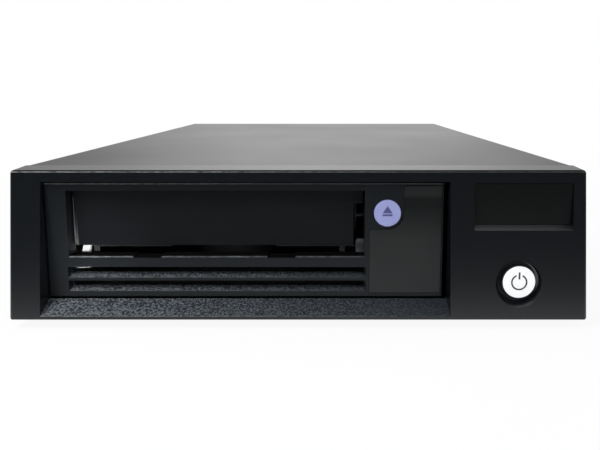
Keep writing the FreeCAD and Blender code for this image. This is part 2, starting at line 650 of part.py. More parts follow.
def make_door():
    """Flap across the slot. It turns on a steel rod behind the bezel's top bar."""
    door = Moulding("Door")
    skin = ("hinge_y-door_thick/2", "hinge_y+door_thick/2")
    door.pad("Y", skin, [[
        ("door_left", "door_bottom"), ("door_right", "door_bottom"),
        ("door_right", "door_ear_bottom"), ("door_ear", "door_ear_bottom"),
        ("door_ear", "hinge_z"), ("door_left", "hinge_z"),
    ]])
    # its left edge slopes back a little, ends in a bevel, and has a rounded lower corner
    left, low = value("door_left"), value("door_bottom")
    step = "door_slope*door_facet"
    door.pocket("Z", ("door_bottom-1", "hinge_z-1.4"), [[
        ("door_left-1", f"{skin[0]}-door_slope"), ("door_left+door_facet+1", f"{skin[0]}-door_slope"),
        ("door_left-1", f"{skin[0]}+{step}+door_slope")]])
    door.soften("Fillet", "0.8", lambda a, b: near(a.x, left) and near(b.x, left)
                and near(a.z, low) and near(b.z, low))
    edge = value(f"{skin[0]}+{step}")
    door.soften("Chamfer", "0.4", lambda a, b: near(a.x, left) and near(b.x, left)
                and near(a.y, edge) and near(b.y, edge) and abs(a.z - b.z) > 5)
    for start, end in (("door_left", "door_left+18"), ("door_ear-18", "door_ear")):
        door.pad("X", (start, end), circles=[(("hinge_y", "hinge_z"), "knuckle_radius")])
    door.pocket("X", ("door_left-1", "door_ear+1"),
                circles=[(("hinge_y", "hinge_z"), "hinge_rod+hinge_play")])
    door.finish("cartridge_door")
    part(rod("HingeRod", "X", ("hinge_y", "hinge_z"), "hinge_rod",
             ("slot_left-1.5", "slot_right+1.5")), "door_hinge_rod")


# ---------------------------------------------------------------- the cartridge loader
PIN_PLACES = ("tray_front+tray_sill+pin_inset", "tray_rear-pin_inset")
TRAY_LUGS = ("cart_left+1.5", "cart_right-5.5")
SLIDER_LEFT = ("tray_left-side_gap-tray_sheet", "tray_left-side_gap")
SLIDER_RIGHT = ("tray_right+side_gap", "tray_right+side_gap+tray_sheet")
FRAME_LEFT = ("tray_left-side_gap-2", "tray_left-side_gap-1.2")
FRAME_RIGHT = ("tray_right+side_gap+1.2", "tray_right+side_gap+2")


def make_tray():
    """Folded tray: its sides are low at the mouth, where the door swings in."""
    low = "tray_floor-tray_sheet"
    under_roof = "tray_roof-tray_sheet"
    tray = Moulding("Tray")
    tray.pad("Y", ("tray_front", "tray_rear"), [[
        ("tray_left", low), ("tray_right", low), ("tray_right", "tray_roof"),
        ("cart_right-5", "tray_roof"), ("cart_right-5", under_roof), ("cart_right", under_roof),
        ("cart_right", "tray_floor"), ("cart_left", "tray_floor"), ("cart_left", under_roof),
        ("cart_left+5", under_roof), ("cart_left+5", "tray_roof"), ("tray_left", "tray_roof"),
    ]])
    tray.pocket("Y", ("tray_front-1", "tray_front+tray_sill"), [rectangle(
        ("tray_left-1", "tray_right+1"), ("tray_floor+tray_sill_height", "tray_roof+1"))])
    tray.pad("Y", ("tray_rear-tray_sheet", "tray_rear"), [
        rectangle(("cart_left-0.2", "cart_left+14"), ("tray_floor-0.2", "tray_floor+8")),
        rectangle(("cart_right-14", "cart_right+0.2"), ("tray_floor-0.2", "tray_floor+8"))])
    # a lug is turned down under each end of the mouth
    tray.pad("Y", ("tray_front", "tray_front+tray_sheet"), [
        rectangle((f"{x}-1.1", f"{x}+1.1"), (f"{low}-2.1", f"{low}+0.3"))
        for x in TRAY_LUGS])
    # the reel driver comes up through the floor
    room = "driver_radius+3.5"
    tray.pocket("Z", (f"{low}-1", "tray_floor+1"), [rectangle(
        (f"cart_x-({room})", f"cart_x+{room}"),
        (f"driver_y-load_travel-({room})", f"driver_y+{room}"))])
    tray.finish("cartridge_tray")
    pins = []
    for n, y in enumerate(PIN_PLACES):
        for side, span in (("Left", ("tray_left-6", "tray_left")),
                           ("Right", ("tray_right", "tray_right+6"))):
            pins.append(rod(f"Pin{side}{n}", "X", (y, "pin_height"), "pin_radius", span))
    part(group("TrayPins", *pins), "tray_pins")


def make_slider_and_frame():
    """The tray's pins run in upright slots in the slider and in slanting slots in the frame, so
    the tray sinks on to the reel driver as it goes back."""
    top, foot = "tray_roof+0.9", "22"
    ahead = "tray_front+tray_sill+1"
    slot = "pin_radius+slot_play"
    bar = Moulding("Slider")
    bar.pad("Y", ("tray_rear+1", "tray_rear+9"),
            [rectangle((SLIDER_LEFT[0], SLIDER_RIGHT[1]), (top, f"{top}+tray_sheet"))])
    for span in (SLIDER_LEFT, SLIDER_RIGHT):
        bar.pad("X", span, [[
            (ahead, foot), ("tray_rear+9", foot), ("tray_rear+9", top), ("tray_rear+1", top),
            ("tray_rear+1", "42"), (ahead, "42")]])
    for y in PIN_PLACES:
        bar.pocket("X", (f"{SLIDER_LEFT[0]}-1", f"{SLIDER_RIGHT[1]}+1"), [rectangle(
            (f"{y}-({slot})", f"{y}+{slot}"),
            (f"pin_height-load_drop-({slot})", f"pin_height+{slot}"))])
    bar.finish("loader_slider")

    frame = Moulding("LoaderFrame")
    ends = ("drive_front+4.4", "deck_front-2")
    lean_slot = f"({slot})*sqrt(1+(load_drop/load_travel)^2)"
    fall = f"load_drop*({slot})/load_travel"
    for start, end in (FRAME_LEFT, FRAME_RIGHT):
        frame.pad("X", (start, end), [rectangle(ends, ("base_floor", "46"))])
    # two straps across the floor join the sides
    for y in (f"{ends[0]}+4", "driver_y+32"):
        frame.pad("Z", ("base_floor", "base_floor+tray_sheet"), [rectangle(
            (FRAME_LEFT[0], FRAME_RIGHT[1]), (y, f"{y}+12"))])
    for y in PIN_PLACES:
        frame.pocket("X", (f"{FRAME_LEFT[0]}-1", f"{FRAME_RIGHT[1]}+1"), [[
            (f"{y}-({slot})", f"pin_height-({lean_slot})+{fall}"),
            (f"{y}+load_travel+{slot}", f"pin_height-load_drop-({lean_slot})-({fall})"),
            (f"{y}+load_travel+{slot}", f"pin_height-load_drop+{lean_slot}-({fall})"),
            (f"{y}-({slot})", f"pin_height+{lean_slot}+{fall}"),
        ]])
    # the right side's lead-in ear at the mouth
    frame.pad("Y", (ends[0], f"{ends[0]}+tray_sheet"), [[
        ("cart_right-0.3", "22"), (f"{FRAME_RIGHT[0]}+0.4", "22"),
        (f"{FRAME_RIGHT[0]}+0.4", "29.4"), ("cart_right+0.2", "29.4"),
        ("cart_right-0.3", "28.2")]])
    frame.finish("loader_frame")
    guide = Moulding("EntryGuide")
    guide.pad("Y", ("-143.4", "-141.4"), [[
        (FRAME_LEFT[1], "17"), ("cart_left-0.2", "17"), ("cart_left-0.2", "23.5"),
        ("cart_left+0.25", "26.8"), ("cart_left-2.5", "26.8"), ("cart_left-3.2", "23.5"),
        ("cart_left-3.2", "20"), (FRAME_LEFT[1], "20")]])
    guide.finish("entry_guide")


def make_loader_motor():
    """Can motor on a bracket, beside the loader's right frame."""
    bracket = fuse("MotorBracket",
                   box("MotorPlate", ("31", "47"), ("-71", "-70"), ("base_floor", "27")),
                   box("MotorFoot", ("31", "47"), ("-71", "-60"), ("base_floor", "base_floor+1")))
    can = rod("MotorCan", "Y", ("39", "19.4"), 7, ("-70", "-48"))
    part(fuse("LoaderMotor", bracket, can), "loader_motor")


# ---------------------------------------------------------------- reels and tape path
DRIVER_TEETH = 10


def make_reel_driver():
    """Toothed hub that meets the cartridge's reel through the tray's floor."""
    bore = "shaft_radius+shaft_play"
    plate = box("DriverStatorPlate", ("cart_x-23", "cart_x+23"), ("driver_y-23", "driver_y+23"),
                ("base_floor", "14"))
    hole = rod("DriverStatorBore", "Z", ("cart_x", "driver_y"), bore, ("base_floor-1", "15"))
    part(cut("DriverStator", plate, hole), "reel_driver_stator")
    centre = ("cart_x", "driver_y")
    hub = Moulding("Driver")
    hub.turn("Revolution", "Z", centre, [
        ("0", "base_floor+0.4"), ("shaft_radius", "base_floor+0.4"), ("shaft_radius", "14.4"),
        ("driver_radius", "14.4"), ("driver_radius", "22.6"), ("0", "22.6")])
    near_end, far_end = "driver_radius-4.1", "driver_radius-0.6"
    tooth = hub.pad("Z", ("22.5", "24.2"), [[
        (f"{centre[0]}+{near_end}", f"{centre[1]}-1.2"),
        (f"{centre[0]}+{far_end}", f"{centre[1]}-1.6"),
        (f"{centre[0]}+{far_end}", f"{centre[1]}+1.6"),
        (f"{centre[0]}+{near_end}", f"{centre[1]}+1.2")]])
    hub.around(tooth, DRIVER_TEETH)
    hub.finish("reel_driver")


def make_take_up_reel():
    """Reel that stays in the drive, on a flat motor."""
    plate = box("TakeUpPlate", ("reel_x-20", "reel_x+20"), ("reel_y-20", "reel_y+20"),
                ("deck_top", "deck_top+3.4"))
    hole = rod("TakeUpBore", "Z", ("reel_x", "reel_y"), "shaft_radius+shaft_play",
               ("deck_top-1", "deck_top+4"))
    part(cut("TakeUpMotor", plate, hole), "take_up_motor")
    low, high = "tape_low-flange-1.2", "tape_high+flange+1.2"
    reel = Moulding("TakeUpReel")
    reel.turn("Revolution", "Z", ("reel_x", "reel_y"), [
        ("0", "deck_top+0.6"), ("shaft_radius", "deck_top+0.6"), ("shaft_radius", low),
        ("reel_radius", low), ("reel_radius", f"{low}+flange"), ("hub_radius", f"{low}+flange"),
        ("hub_radius", f"{high}-flange"), ("reel_radius", f"{high}-flange"),
        ("reel_radius", high), ("0", high)])
    reel.finish("take_up_reel")


ROLLERS = {1: ("22", "-28"), 2: ("24", "-12"), 3: ("24", "20"), 4: ("12", "40")}
DECK_POSTS = [(x, y) for x in (-85, 46) for y in (-34, 47)]


def make_tape_path():
    """Deck plate with four smooth rollers and the head, which rides up and down a rail."""
    deck = Moulding("Deck")
    deck.pad("Z", ("deck_bottom", "deck_top"), [rectangle(
        ("base_left+2.4", "base_right-2.4"), ("deck_front", "drive_rear-4"))])
    corners = [(math.cos(math.radians(a)), math.sin(math.radians(a))) for a in range(0, 360, 60)]
    reach = "(roller_shaft+shaft_play)/cos(30)"
    deck.pocket("Z", ("deck_bottom-1", "deck_top+1"), [
        [(f"{x}+{reach}*({c:.6f})", f"{y}+{reach}*({d:.6f})") for c, d in corners]
        for x, y in ROLLERS.values()])
    deck.finish("tape_deck")
    posts = [hexagon(f"DeckPost{n}", (str(x), str(y)), "hex_radius", ("base_floor", "deck_bottom"))
             for n, (x, y) in enumerate(DECK_POSTS)]
    part(group("DeckPosts", *posts), "deck_posts")
    for n, centre in ROLLERS.items():
        roller = Moulding(f"Roller{n}")
        roller.turn("Revolution", "Z", centre, [
            ("0", "deck_bottom"), ("roller_shaft", "deck_bottom"),
            ("roller_shaft", "tape_low-1.4"), ("roller_radius", "tape_low-1.4"),
            ("roller_radius", "tape_high+1.4"), ("0", "tape_high+1.4")])
        roller.finish(f"guide_roller_{n}")
    rail = (("38", "40.5"), ("1.5", "4.5"))
    head = fuse("HeadBlank",
                box("HeadCarriage", ("34", "44"), ("-4", "10"), ("tape_middle-6", "tape_middle+6")),
                box("HeadFace", ("30.2", "34"), ("-1", "7"), ("tape_middle-7", "tape_middle+7")))
    play = "0.06"
    bore = box("HeadBore", (f"{rail[0][0]}-{play}", f"{rail[0][1]}+{play}"),
               (f"{rail[1][0]}-{play}", f"{rail[1][1]}+{play}"), ("deck_top", "46"))
    part(cut("TapeHead", head, bore), "tape_head")
    part(fuse("HeadActuator",
              box("HeadRail", rail[0], rail[1], ("deck_top", "42")),
              box("HeadBase", (rail[0][0], "48"), ("-6", "12"), ("deck_top", "deck_top+1")),
              box("HeadCoil", ("45.4", "48"), ("-6", "12"), ("deck_top", "41"))),
         "head_actuator")


def make_threader():
    """Arm that carries the tape's leader from the cartridge to the take-up reel."""
    turn = math.radians(value("threader_angle"))
    along, aside = (math.cos(turn), math.sin(turn)), (-math.sin(turn), math.cos(turn))
    outline = []
    for length, width in (("-3.4", -2.4), ("-3.4", 2.4), ("0", 4.4), ("threader_length", 2.2),
                          ("(threader_length+2.2)", 0), ("threader_length", -2.2), ("0", -4.4)):
        outline.append(tuple(
            f"{centre}+{length}*({step:.6f})+({width})*({shift:.6f})"
            for centre, step, shift in zip(("threader_x", "threader_y"), along, aside)))
    arm = Moulding("Threader")
    arm.pad("Z", ("arm_low", "arm_low+arm_thick"), [outline])
    arm.pocket("Z", ("arm_low-3", "arm_low+4"),
               circles=[(("threader_x", "threader_y"), "pivot_radius+shaft_play")])
    arm.finish("threader_arm")
    seat = hexagon("ThreaderSeat", ("threader_x", "threader_y"), "pivot_radius+1.5",
                   ("deck_top", "arm_low-0.4"))
    pivot = rod("ThreaderPivot", "Z", ("threader_x", "threader_y"), "pivot_radius",
                ("arm_low-2", "arm_low+3"))
    part(fuse("ThreaderPost", seat, pivot), "threader_post")


def make_drive_board():
    low = "base_floor+1.4"
    board = box("DriveBoardBlank", ("base_left+3", "base_right-3"), ("-36", "drive_rear-2"),
                (low, f"{low}+board_thick"))
    notches = [box(f"BoardNotch{n}", (f"{x}-4", f"{x}+4"), (f"{y}-5", f"{y}+5"),
                   (f"{low}-1", f"{low}+3"))
               for n, (x, y) in enumerate(DECK_POSTS)]
    part(cut("DriveBoard", board, *notches), "drive_board")
    data = box("DriveDataPlug", ("-56", "-14"), ("drive_rear-2", "drive_rear+5"), ("11.2", "17"))
    power = box("DrivePowerPlug", ("34.2", "47.8"), ("drive_rear-2", "drive_rear+5"),
                ("13.2", "19.8"))
    part(group("DriveSockets", data, power), "drive_sockets")


# ---------------------------------------------------------------- power supply and sockets
SUPPLY_POSTS = [("supply_left+4", "supply_front+4"), ("supply_right-4", "supply_front+4"),
                ("supply_right-4", "supply_back-4"), ("supply_left+4", "supply_back-4")]
SOCKET_POSTS = [("-86", "116"), ("-35", "116"), ("-86", "154"), ("-35", "154")]
BOARD_POSTS = [("-70", "-30"), ("30", "-30"), ("-70", "46"), ("30", "46")]


def make_power_supply():
    under = "pan_floor+supply_lift"
    part(box("SupplyBoard", ("supply_left", "supply_right"), ("supply_front", "supply_back"),
             (under, "supply_top")), "supply_board")
    posts = []
    for places, span in ((SUPPLY_POSTS, ("pan_floor", under)),
                         (SOCKET_POSTS, ("pan_floor", "interface_top-board_thick")),
                         (BOARD_POSTS, ("base_floor", "base_floor+1.4"))):
        for centre in places:
            posts.append(hexagon(f"BoardPost{len(posts)}", centre, "hex_radius", span))
    part(group("BoardPosts", *posts), "board_standoffs")
    part(fuse("Transformer",
              box("CoreBlock", ("62", "88"), ("88", "112"), ("supply_top", "supply_top+22")),
              box("CoreBobbin", ("59", "91"), ("93", "107"), ("supply_top+3", "supply_top+19"))),
         "supply_transformer")
    can = rod("SupplyCan", "Z", ("92", "123"), 8, ("supply_top", "supply_top+30"))
    films = [box(f"FilmCapacitor{n}", (f"{x}-6.5", f"{x}+6.5"), ("71", "78"),
                 ("supply_top", "supply_top+13")) for n, x in enumerate((60, 76))]
    part(group("SupplyCapacitors", can, *films), "supply_capacitors")
    sinks = []
    for n, y in enumerate((83, 118)):
        plate = box(f"SinkPlate{n}", ("46", "80"), (str(y), f"{y}+2"),
                    ("supply_top", "supply_top+28"))
        fins = [box(f"SinkFin{n}x{k}", (f"46+{k}*10.8", f"47.6+{k}*10.8"), (f"{y}-0.8", f"{y}+5"),
                    ("supply_top+10", "supply_top+28")) for k in range(4)]
        sinks.append(fuse(f"Sink{n}", plate, *fins))
    part(group("SupplySinks", *sinks), "supply_heatsinks")


INLET_PINS = ((-7, -1.5), (7, -1.5), (0, 3))


def make_inlet():
    """Three-pin appliance inlet, snapped into the rear wall."""
    inlet = Moulding("Inlet")
    inlet.pad("Y", ("rear", "rear+rear_reach"), [
        rectangle(("inlet_x-15.5", "inlet_x+15.5"), ("inlet_z-12", "inlet_z+12"))])
    outer = value("rear+rear_reach")
    inlet.soften("Chamfer", "0.8", lambda a, b: near(a.y, outer) and near(b.y, outer))
    inlet.pad("Y", ("rear-20", "rear"), [
        rectangle(("inlet_x-13.6", "inlet_x+13.6"), ("inlet_z-10", "inlet_z+10"))])
    inlet.pocket("Y", ("rear-16", "rear+4"), [[
        ("inlet_x-12", "inlet_z-8"), ("inlet_x+12", "inlet_z-8"), ("inlet_x+12", "inlet_z+3.6"),
        ("inlet_x+7.6", "inlet_z+8"), ("inlet_x-7.6", "inlet_z+8"), ("inlet_x-12", "inlet_z+3.6")]])
    inlet.pocket("Y", ("rear-21", "rear-10"), [
        rectangle((f"inlet_x+{dx}-1", f"inlet_x+{dx}+1"), (f"inlet_z+{dz}-2", f"inlet_z+{dz}+2"))
        for dx, dz in INLET_PINS])
    inlet.finish("power_inlet")
    pins = [box(f"InletPin{n}", (f"inlet_x+{dx}-1", f"inlet_x+{dx}+1"), ("rear-26", "rear-1.5"),
                (f"inlet_z+{dz}-2", f"inlet_z+{dz}+2"))
            for n, (dx, dz) in enumerate(INLET_PINS)]
    part(group("InletPins", *pins), "inlet_pins")


def make_data_sockets():
    """Two caged sockets on their board, which stands behind the rear wall's openings."""
    cages = []
    for n, x in enumerate(("socket_left", "socket_right")):
        shell = box(f"CageShell{n}", (f"{x}-12", f"{x}+12"), ("rear-24", "rear+1.6"),
                    ("interface_top", "interface_top+11.2"))
        mouth = box(f"CageMouth{n}", (f"{x}-10.6", f"{x}+10.6"), ("rear-12", "rear+3"),
                    ("sas_z-4.4", "sas_z+4.4"))
        tongue = box(f"CageTongue{n}", (f"{x}-8", f"{x}+8"), ("rear-13", "rear-1.5"),
                     ("sas_z-3.4", "sas_z-2.2"))
        cages.append(fuse(f"Cage{n}", cut(f"CageCut{n}", shell, mouth), tongue))
    part(group("DataSockets", *cages), "data_sockets")
    part(box("InterfaceBoard", ("-90", "-31"), ("112", "rear-4"),
             ("interface_top-board_thick", "interface_top")), "interface_board")


def make_fan():
    centre = ("fan_x", "fan_z")
    half = "fan_size/2"
    seat = ("fan_front", "fan_front+2")
    frame = Moulding("FanFrame")
    frame.pad("Y", ("fan_front", "rear-sheet"), [
        rectangle((f"fan_x-{half}", f"fan_x+{half}"), (f"fan_z-{half}", f"fan_z+{half}"))])
    frame.pocket("Y", ("fan_front-1", "rear"), circles=[(centre, f"{half}-1.2")])
    # the motor's seat and its struts, at the front where the air comes in
    frame.pad("Y", seat, [rectangle(("fan_x-9", "fan_x+9"), ("fan_z-9", "fan_z+9"))])
    frame.pad("Y", seat, [
        rectangle(("fan_x-1.2", "fan_x+1.2"), ("fan_z+8", "fan_z+19.4")),
        rectangle(("fan_x+7.6", "fan_x+19.4"), ("fan_z-1.2", "fan_z+1.2")),
        rectangle(("fan_x-19.4", "fan_x-7.6"), ("fan_z-1.2", "fan_z+1.2"))])
    frame.finish("fan_frame")
    rotor = Moulding("FanRotor")
    rotor.turn("Revolution", "Y", centre, [
        ("0", "fan_front+2.6"), ("11", "fan_front+2.6"), ("11", "rear-sheet-1.6"),
        ("0", "rear-sheet-1.6")])
    blade = rotor.pad("X", ("fan_x+10", "fan_x+17.8"), [[
        ("fan_front+4", "fan_z-4.4"), ("fan_front+5.2", "fan_z-5.2"),
        ("rear-sheet-3", "fan_z+4"), ("rear-sheet-4.2", "fan_z+4.8")]])
    rotor.around(blade, 5)
    rotor.finish("fan_rotor")
    screws = [hexagon(f"FanScrew{n}", (f"fan_x+{dx}", f"fan_z+{dz}"), "hex_radius",
                      ("rear", "rear+screw_head"), "Y")
              for n, (dx, dz) in enumerate(FAN_CORNERS)]
    part(group("FanScrews", *screws), "fan_screws")


# ---------------------------------------------------------------- wiring inside the case
def make_wiring():
    """Flat leads, each held at both ends. A route is (place along Y, height) at one X."""
    socket_end, board_end = "drive_rear+5", "supply_top"
    leads = {
        "data_lead": ("-44", 20, 1.0, [
            (socket_end, "14"), ("68", "14"), ("84", "29"), ("118", "29"), ("118", "interface_top")]),
        "drive_power_lead": ("41", 10, 1.6, [
            (socket_end, "16.5"), ("67", "16.5"), ("73", "19.5"), ("84", "19.5"), ("84", board_end)]),
        "switch_lead": ("power_x+9", 5, 1.0, [
            ("switch_board_y+board_thick", "24"), ("-134", "24"), ("-116", "6.4"),
            ("50", "6.4"), ("56", "17"), ("69", "17"), ("69", board_end)]),
    }
    for node, (x, width, thick, route) in leads.items():
        points = [V(value(x), value(y), value(z)) for y, z in route]
        lead = doc.addObject("Part::Feature", node.title().replace("_", ""))
        lead.Shape = flat_lead(points, width, thick)
        part(lead, node)
    wires = []
    for n, (dx, dz) in enumerate(INLET_PINS):
        start = V(value(f"inlet_x+{dx}"), value("rear-26"), value(f"inlet_z+{dz}"))
        corner = start - V(0, 6, 0)
        wire = doc.addObject("Part::Feature", f"MainsLead{n}")
        wire.Shape = flat_lead([start, corner, V(corner.x, corner.y, value(board_end))], 1.8, 1.8)
        wires.append(wire)
    part(group("MainsLeads", *wires), "mains_leads")


def flat_lead(points, width, thick):
    """A lead of one width along straight runs joined by tangent arcs, all at one X."""
    edges, start = [], points[0]
    for before, corner, after in zip(points, points[1:], points[2:]):
        reach = 0.45 * min((before - corner).Length, (after - corner).Length)
        first = corner + (before - corner).normalize() * reach
        last = corner + (after - corner).normalize() * reach
        inward = (first + last) * 0.5 - corner
        half = (first - corner).getAngle(inward)
        hub = corner + inward.normalize() * (reach / math.cos(half))
        middle = hub + (corner - hub).normalize() * (reach * math.tan(half))
        edges += [Part.LineSegment(start, first).toShape(), Part.Arc(first, middle, last).toShape()]
        start = last
    edges.append(Part.LineSegment(start, points[-1]).toShape())
    # the section stands square to the first run, which goes along Y
    corners = [points[0] + V(dx * width / 2, 0, dz * thick / 2)
               for dx, dz in ((-1, -1), (1, -1), (1, 1), (-1, 1), (-1, -1))]
    path = Part.Wire(edges)
    lead = path.makePipeShell([Part.makePolygon(corners)], True, False)
    assert abs(lead.Volume - path.Length * width * thick) < 0.02 * lead.Volume
    return lead


def write_parts():
    doc.recompute()
    for thing in doc.Objects:
        assert not {"Invalid", "Error"} & set(thing.State), f"{thing.Name}: {thing.State}"
    os.makedirs("parts", exist_ok=True)
    for node, thing in PARTS.items():
        shape = thing.Shape
        assert not shape.isNull() and shape.isValid(), f"{node} has no valid shape"
        assert shape.Solids and shape.Volume > 0, f"{node} has no solid"
        shape.exportStep(f"parts/{node}.step")
    print(f"{len(PARTS)} parts")


for make in (make_base_pan, make_top_cover, make_front_bezel, make_feet_and_screws,
             make_power_button, make_drive_shell, make_drive_bezel, make_eject_button, make_door,
             make_tray, make_slider_and_frame, make_loader_motor, make_reel_driver,
             make_take_up_reel, make_tape_path, make_threader, make_drive_board,
             make_power_supply, make_inlet, make_data_sockets, make_fan, make_wiring):
    make()
write_parts()
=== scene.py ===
"""The looks of a desktop data tape drive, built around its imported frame.

The moulded pieces that face the user are copies of the frame's solids with their corners joined
and their edges rounded. The buttons, feet, screws and printed signs are modelled here. Every
other node keeps its solid and gets a finish. Lengths are in metres, +X to the right, +Y to the
back, +Z up.
"""
import json
import math

import bmesh
import bpy
from mathutils import Matrix, Vector


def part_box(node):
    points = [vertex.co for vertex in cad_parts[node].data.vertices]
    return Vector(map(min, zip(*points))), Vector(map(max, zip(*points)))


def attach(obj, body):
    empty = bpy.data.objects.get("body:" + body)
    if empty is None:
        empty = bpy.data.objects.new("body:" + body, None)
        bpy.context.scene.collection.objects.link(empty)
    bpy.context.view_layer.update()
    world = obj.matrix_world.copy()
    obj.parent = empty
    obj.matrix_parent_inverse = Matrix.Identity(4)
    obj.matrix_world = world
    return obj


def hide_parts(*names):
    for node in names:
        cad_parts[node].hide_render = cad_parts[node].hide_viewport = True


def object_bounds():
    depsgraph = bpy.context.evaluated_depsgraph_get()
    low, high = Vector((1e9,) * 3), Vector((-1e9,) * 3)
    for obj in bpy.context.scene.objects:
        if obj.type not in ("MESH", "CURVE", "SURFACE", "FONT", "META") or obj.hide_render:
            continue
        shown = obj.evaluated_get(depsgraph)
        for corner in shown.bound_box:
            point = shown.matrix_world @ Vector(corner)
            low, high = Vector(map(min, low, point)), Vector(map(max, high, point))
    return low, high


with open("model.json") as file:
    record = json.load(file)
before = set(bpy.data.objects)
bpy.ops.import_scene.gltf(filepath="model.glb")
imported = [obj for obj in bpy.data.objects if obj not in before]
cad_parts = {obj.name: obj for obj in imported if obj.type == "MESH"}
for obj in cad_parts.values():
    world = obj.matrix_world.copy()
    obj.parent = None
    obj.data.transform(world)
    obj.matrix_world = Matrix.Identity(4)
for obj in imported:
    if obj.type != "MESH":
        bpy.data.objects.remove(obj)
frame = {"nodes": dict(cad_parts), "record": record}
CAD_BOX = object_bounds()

NODES = frame["nodes"]
RECORD = frame["record"]

# ---------------------------------------------------------------- the builder's values
MM = 0.001
JOIN_WITHIN = 0.002 * MM  # corners nearer than this are one corner
FLAT_WITHIN = math.radians(0.6)  # faces that fold by less are one flat face
FOLD = math.radians(28)  # an edge that folds by more gets rounded
SHARP = math.radians(38)  # an edge that folds by more shades as a crease
GAP = 0.05  # millimetres that a new piece stays inside its node's ends
SIGN_LIFT = 0.03  # millimetres that a printed sign stands above its face
SIGN_THICK = 0.06  # millimetres of the whole sign, half of it sunk in the face
BUTTON_STEPS = 96  # flat sides round a button
FOOT_STEPS = 48
CREST = 2  # segments across a small rounded edge
FULL_ROUND = 3

# the places of a bezel's materials: the first two and the last on both bezels
PLAIN, GRAINED, DULL_LINE = 0, 1, 4
# the pale lines on both bezels are painted highlights
POLISHED, HIGHLIGHT_LINE = 2, 3  # on the case's bezel
SLOT_LINE, SEAM_LINE = 2, 3  # on the drive's bezel

# copies of solids with their edges rounded: piece, node, body, slot, width in millimetres and
# segments
FRONT_COPIES = (
    ("door_flap", "cartridge_door", "door", "door_plastic", 0.14, FULL_ROUND),
    ("window_pane", "status_window", "enclosure", "smoked_window", 0.18, FULL_ROUND),
    ("label_panel", "badge_plate", "enclosure", "badge_panel", 0.2, FULL_ROUND),
    ("cover_sheet", "top_cover", "enclosure", "case_paint", 0.18, CREST),
)
REAR_COPIES = (
    ("inlet_shell", "power_inlet", "enclosure", "component_black", 0.25, CREST),
    ("socket_cages", "data_sockets", "enclosure", "cage", 0.12, CREST),
    ("fan_housing", "fan_frame", "enclosure", "component_black", 0.2, CREST),
    ("inlet_blades", "inlet_pins", "enclosure", "contact", 0.3, CREST),
    ("pan_sheet", "base_pan", "enclosure", "case_paint", 0.12, CREST),
)

GLOW_REACH = 0.13  # metres from the case at which the floor's reflected glow falls to half
SHADOW_REACH = 0.12  # metres from the case at which the floor's shadow has faded by half
WALL_HEIGHT = 0.30  # the upward share of a heading at which the bright back wall ends
# the room's brightness in reflections, from straight ahead of the drive (0) to behind it (1)
ROOM_TONES = ((0.0, 0.02), (0.2, 0.03), (0.42, 0.13), (0.70, 0.20), (0.92, 0.30), (0.965, 0.52),
              (0.995, 1.0))

# each lamp's name, place, target, width, height, power and spread in degrees, and whether
# glossy surfaces mirror it: those in front aren't mirrored, so that they leave no glare on
# the cover from behind
OPEN = 180
LAMPS = (
    ("overhead", (0.0, 0.05, 0.80), (0, 0, 0.03), 0.8, 0.6, 2.0, OPEN, True),
    ("near_left", (-0.25, -0.40, 0.42), (-0.06, -0.16, 0.01), 0.20, 0.20, 2.1, OPEN, False),
    ("slot_beam", (0.25, -0.75, 0.14), (-0.084, -0.143, 0.025), 0.02, 0.02, 0.0022, 3, False),
    ("left_front", (-0.75, -0.75, 0.55), (0, -0.15, 0.03), 0.3, 0.3, 1.2, OPEN, False),
    ("low_right", (0.95, -0.75, 0.27), (-0.04, -0.15, 0.02), 0.4, 0.4, 3.0, OPEN, False),
)

CAMERA_PLACE = (0.010107, -0.389628, 0.087159)
CAMERA_TILT = math.radians(82)
SENSOR_WIDTH = 36
LENS_LENGTH = 37.98
LENS_SHIFT = (-0.0427, -0.0754)


# ---------------------------------------------------------------- shader expressions
class Signal:
    """A shader socket that takes Python's arithmetic: each operation adds its Math node."""

    def __init__(self, finish, socket):
        self.finish = finish
        self.socket = socket

    def maths(self, operation, first, second):
        """A Math node on two signals or numbers."""
        return self.finish.node("ShaderNodeMath", {"operation": operation}, {0: first, 1: second})

    def __add__(self, other):
        return self.maths("ADD", self, other)

    def __sub__(self, other):
        return self.maths("SUBTRACT", self, other)

    def __rsub__(self, other):
        return self.maths("SUBTRACT", other, self)

    def __mul__(self, other):
        return self.maths("MULTIPLY", self, other)

    def __truediv__(self, other):
        return self.maths("DIVIDE", self, other)

    def __rtruediv__(self, other):
        return self.maths("DIVIDE", other, self)

    def __pow__(self, other):
        return self.maths("POWER", self, other)

    def clamped(self):
        """The signal kept between 0 and 1."""
        return self.finish.node("ShaderNodeClamp", None, {"Value": self})

    def __lt__(self, other):
        return self.maths("LESS_THAN", self, other)

    __radd__ = __add__
    __rmul__ = __mul__


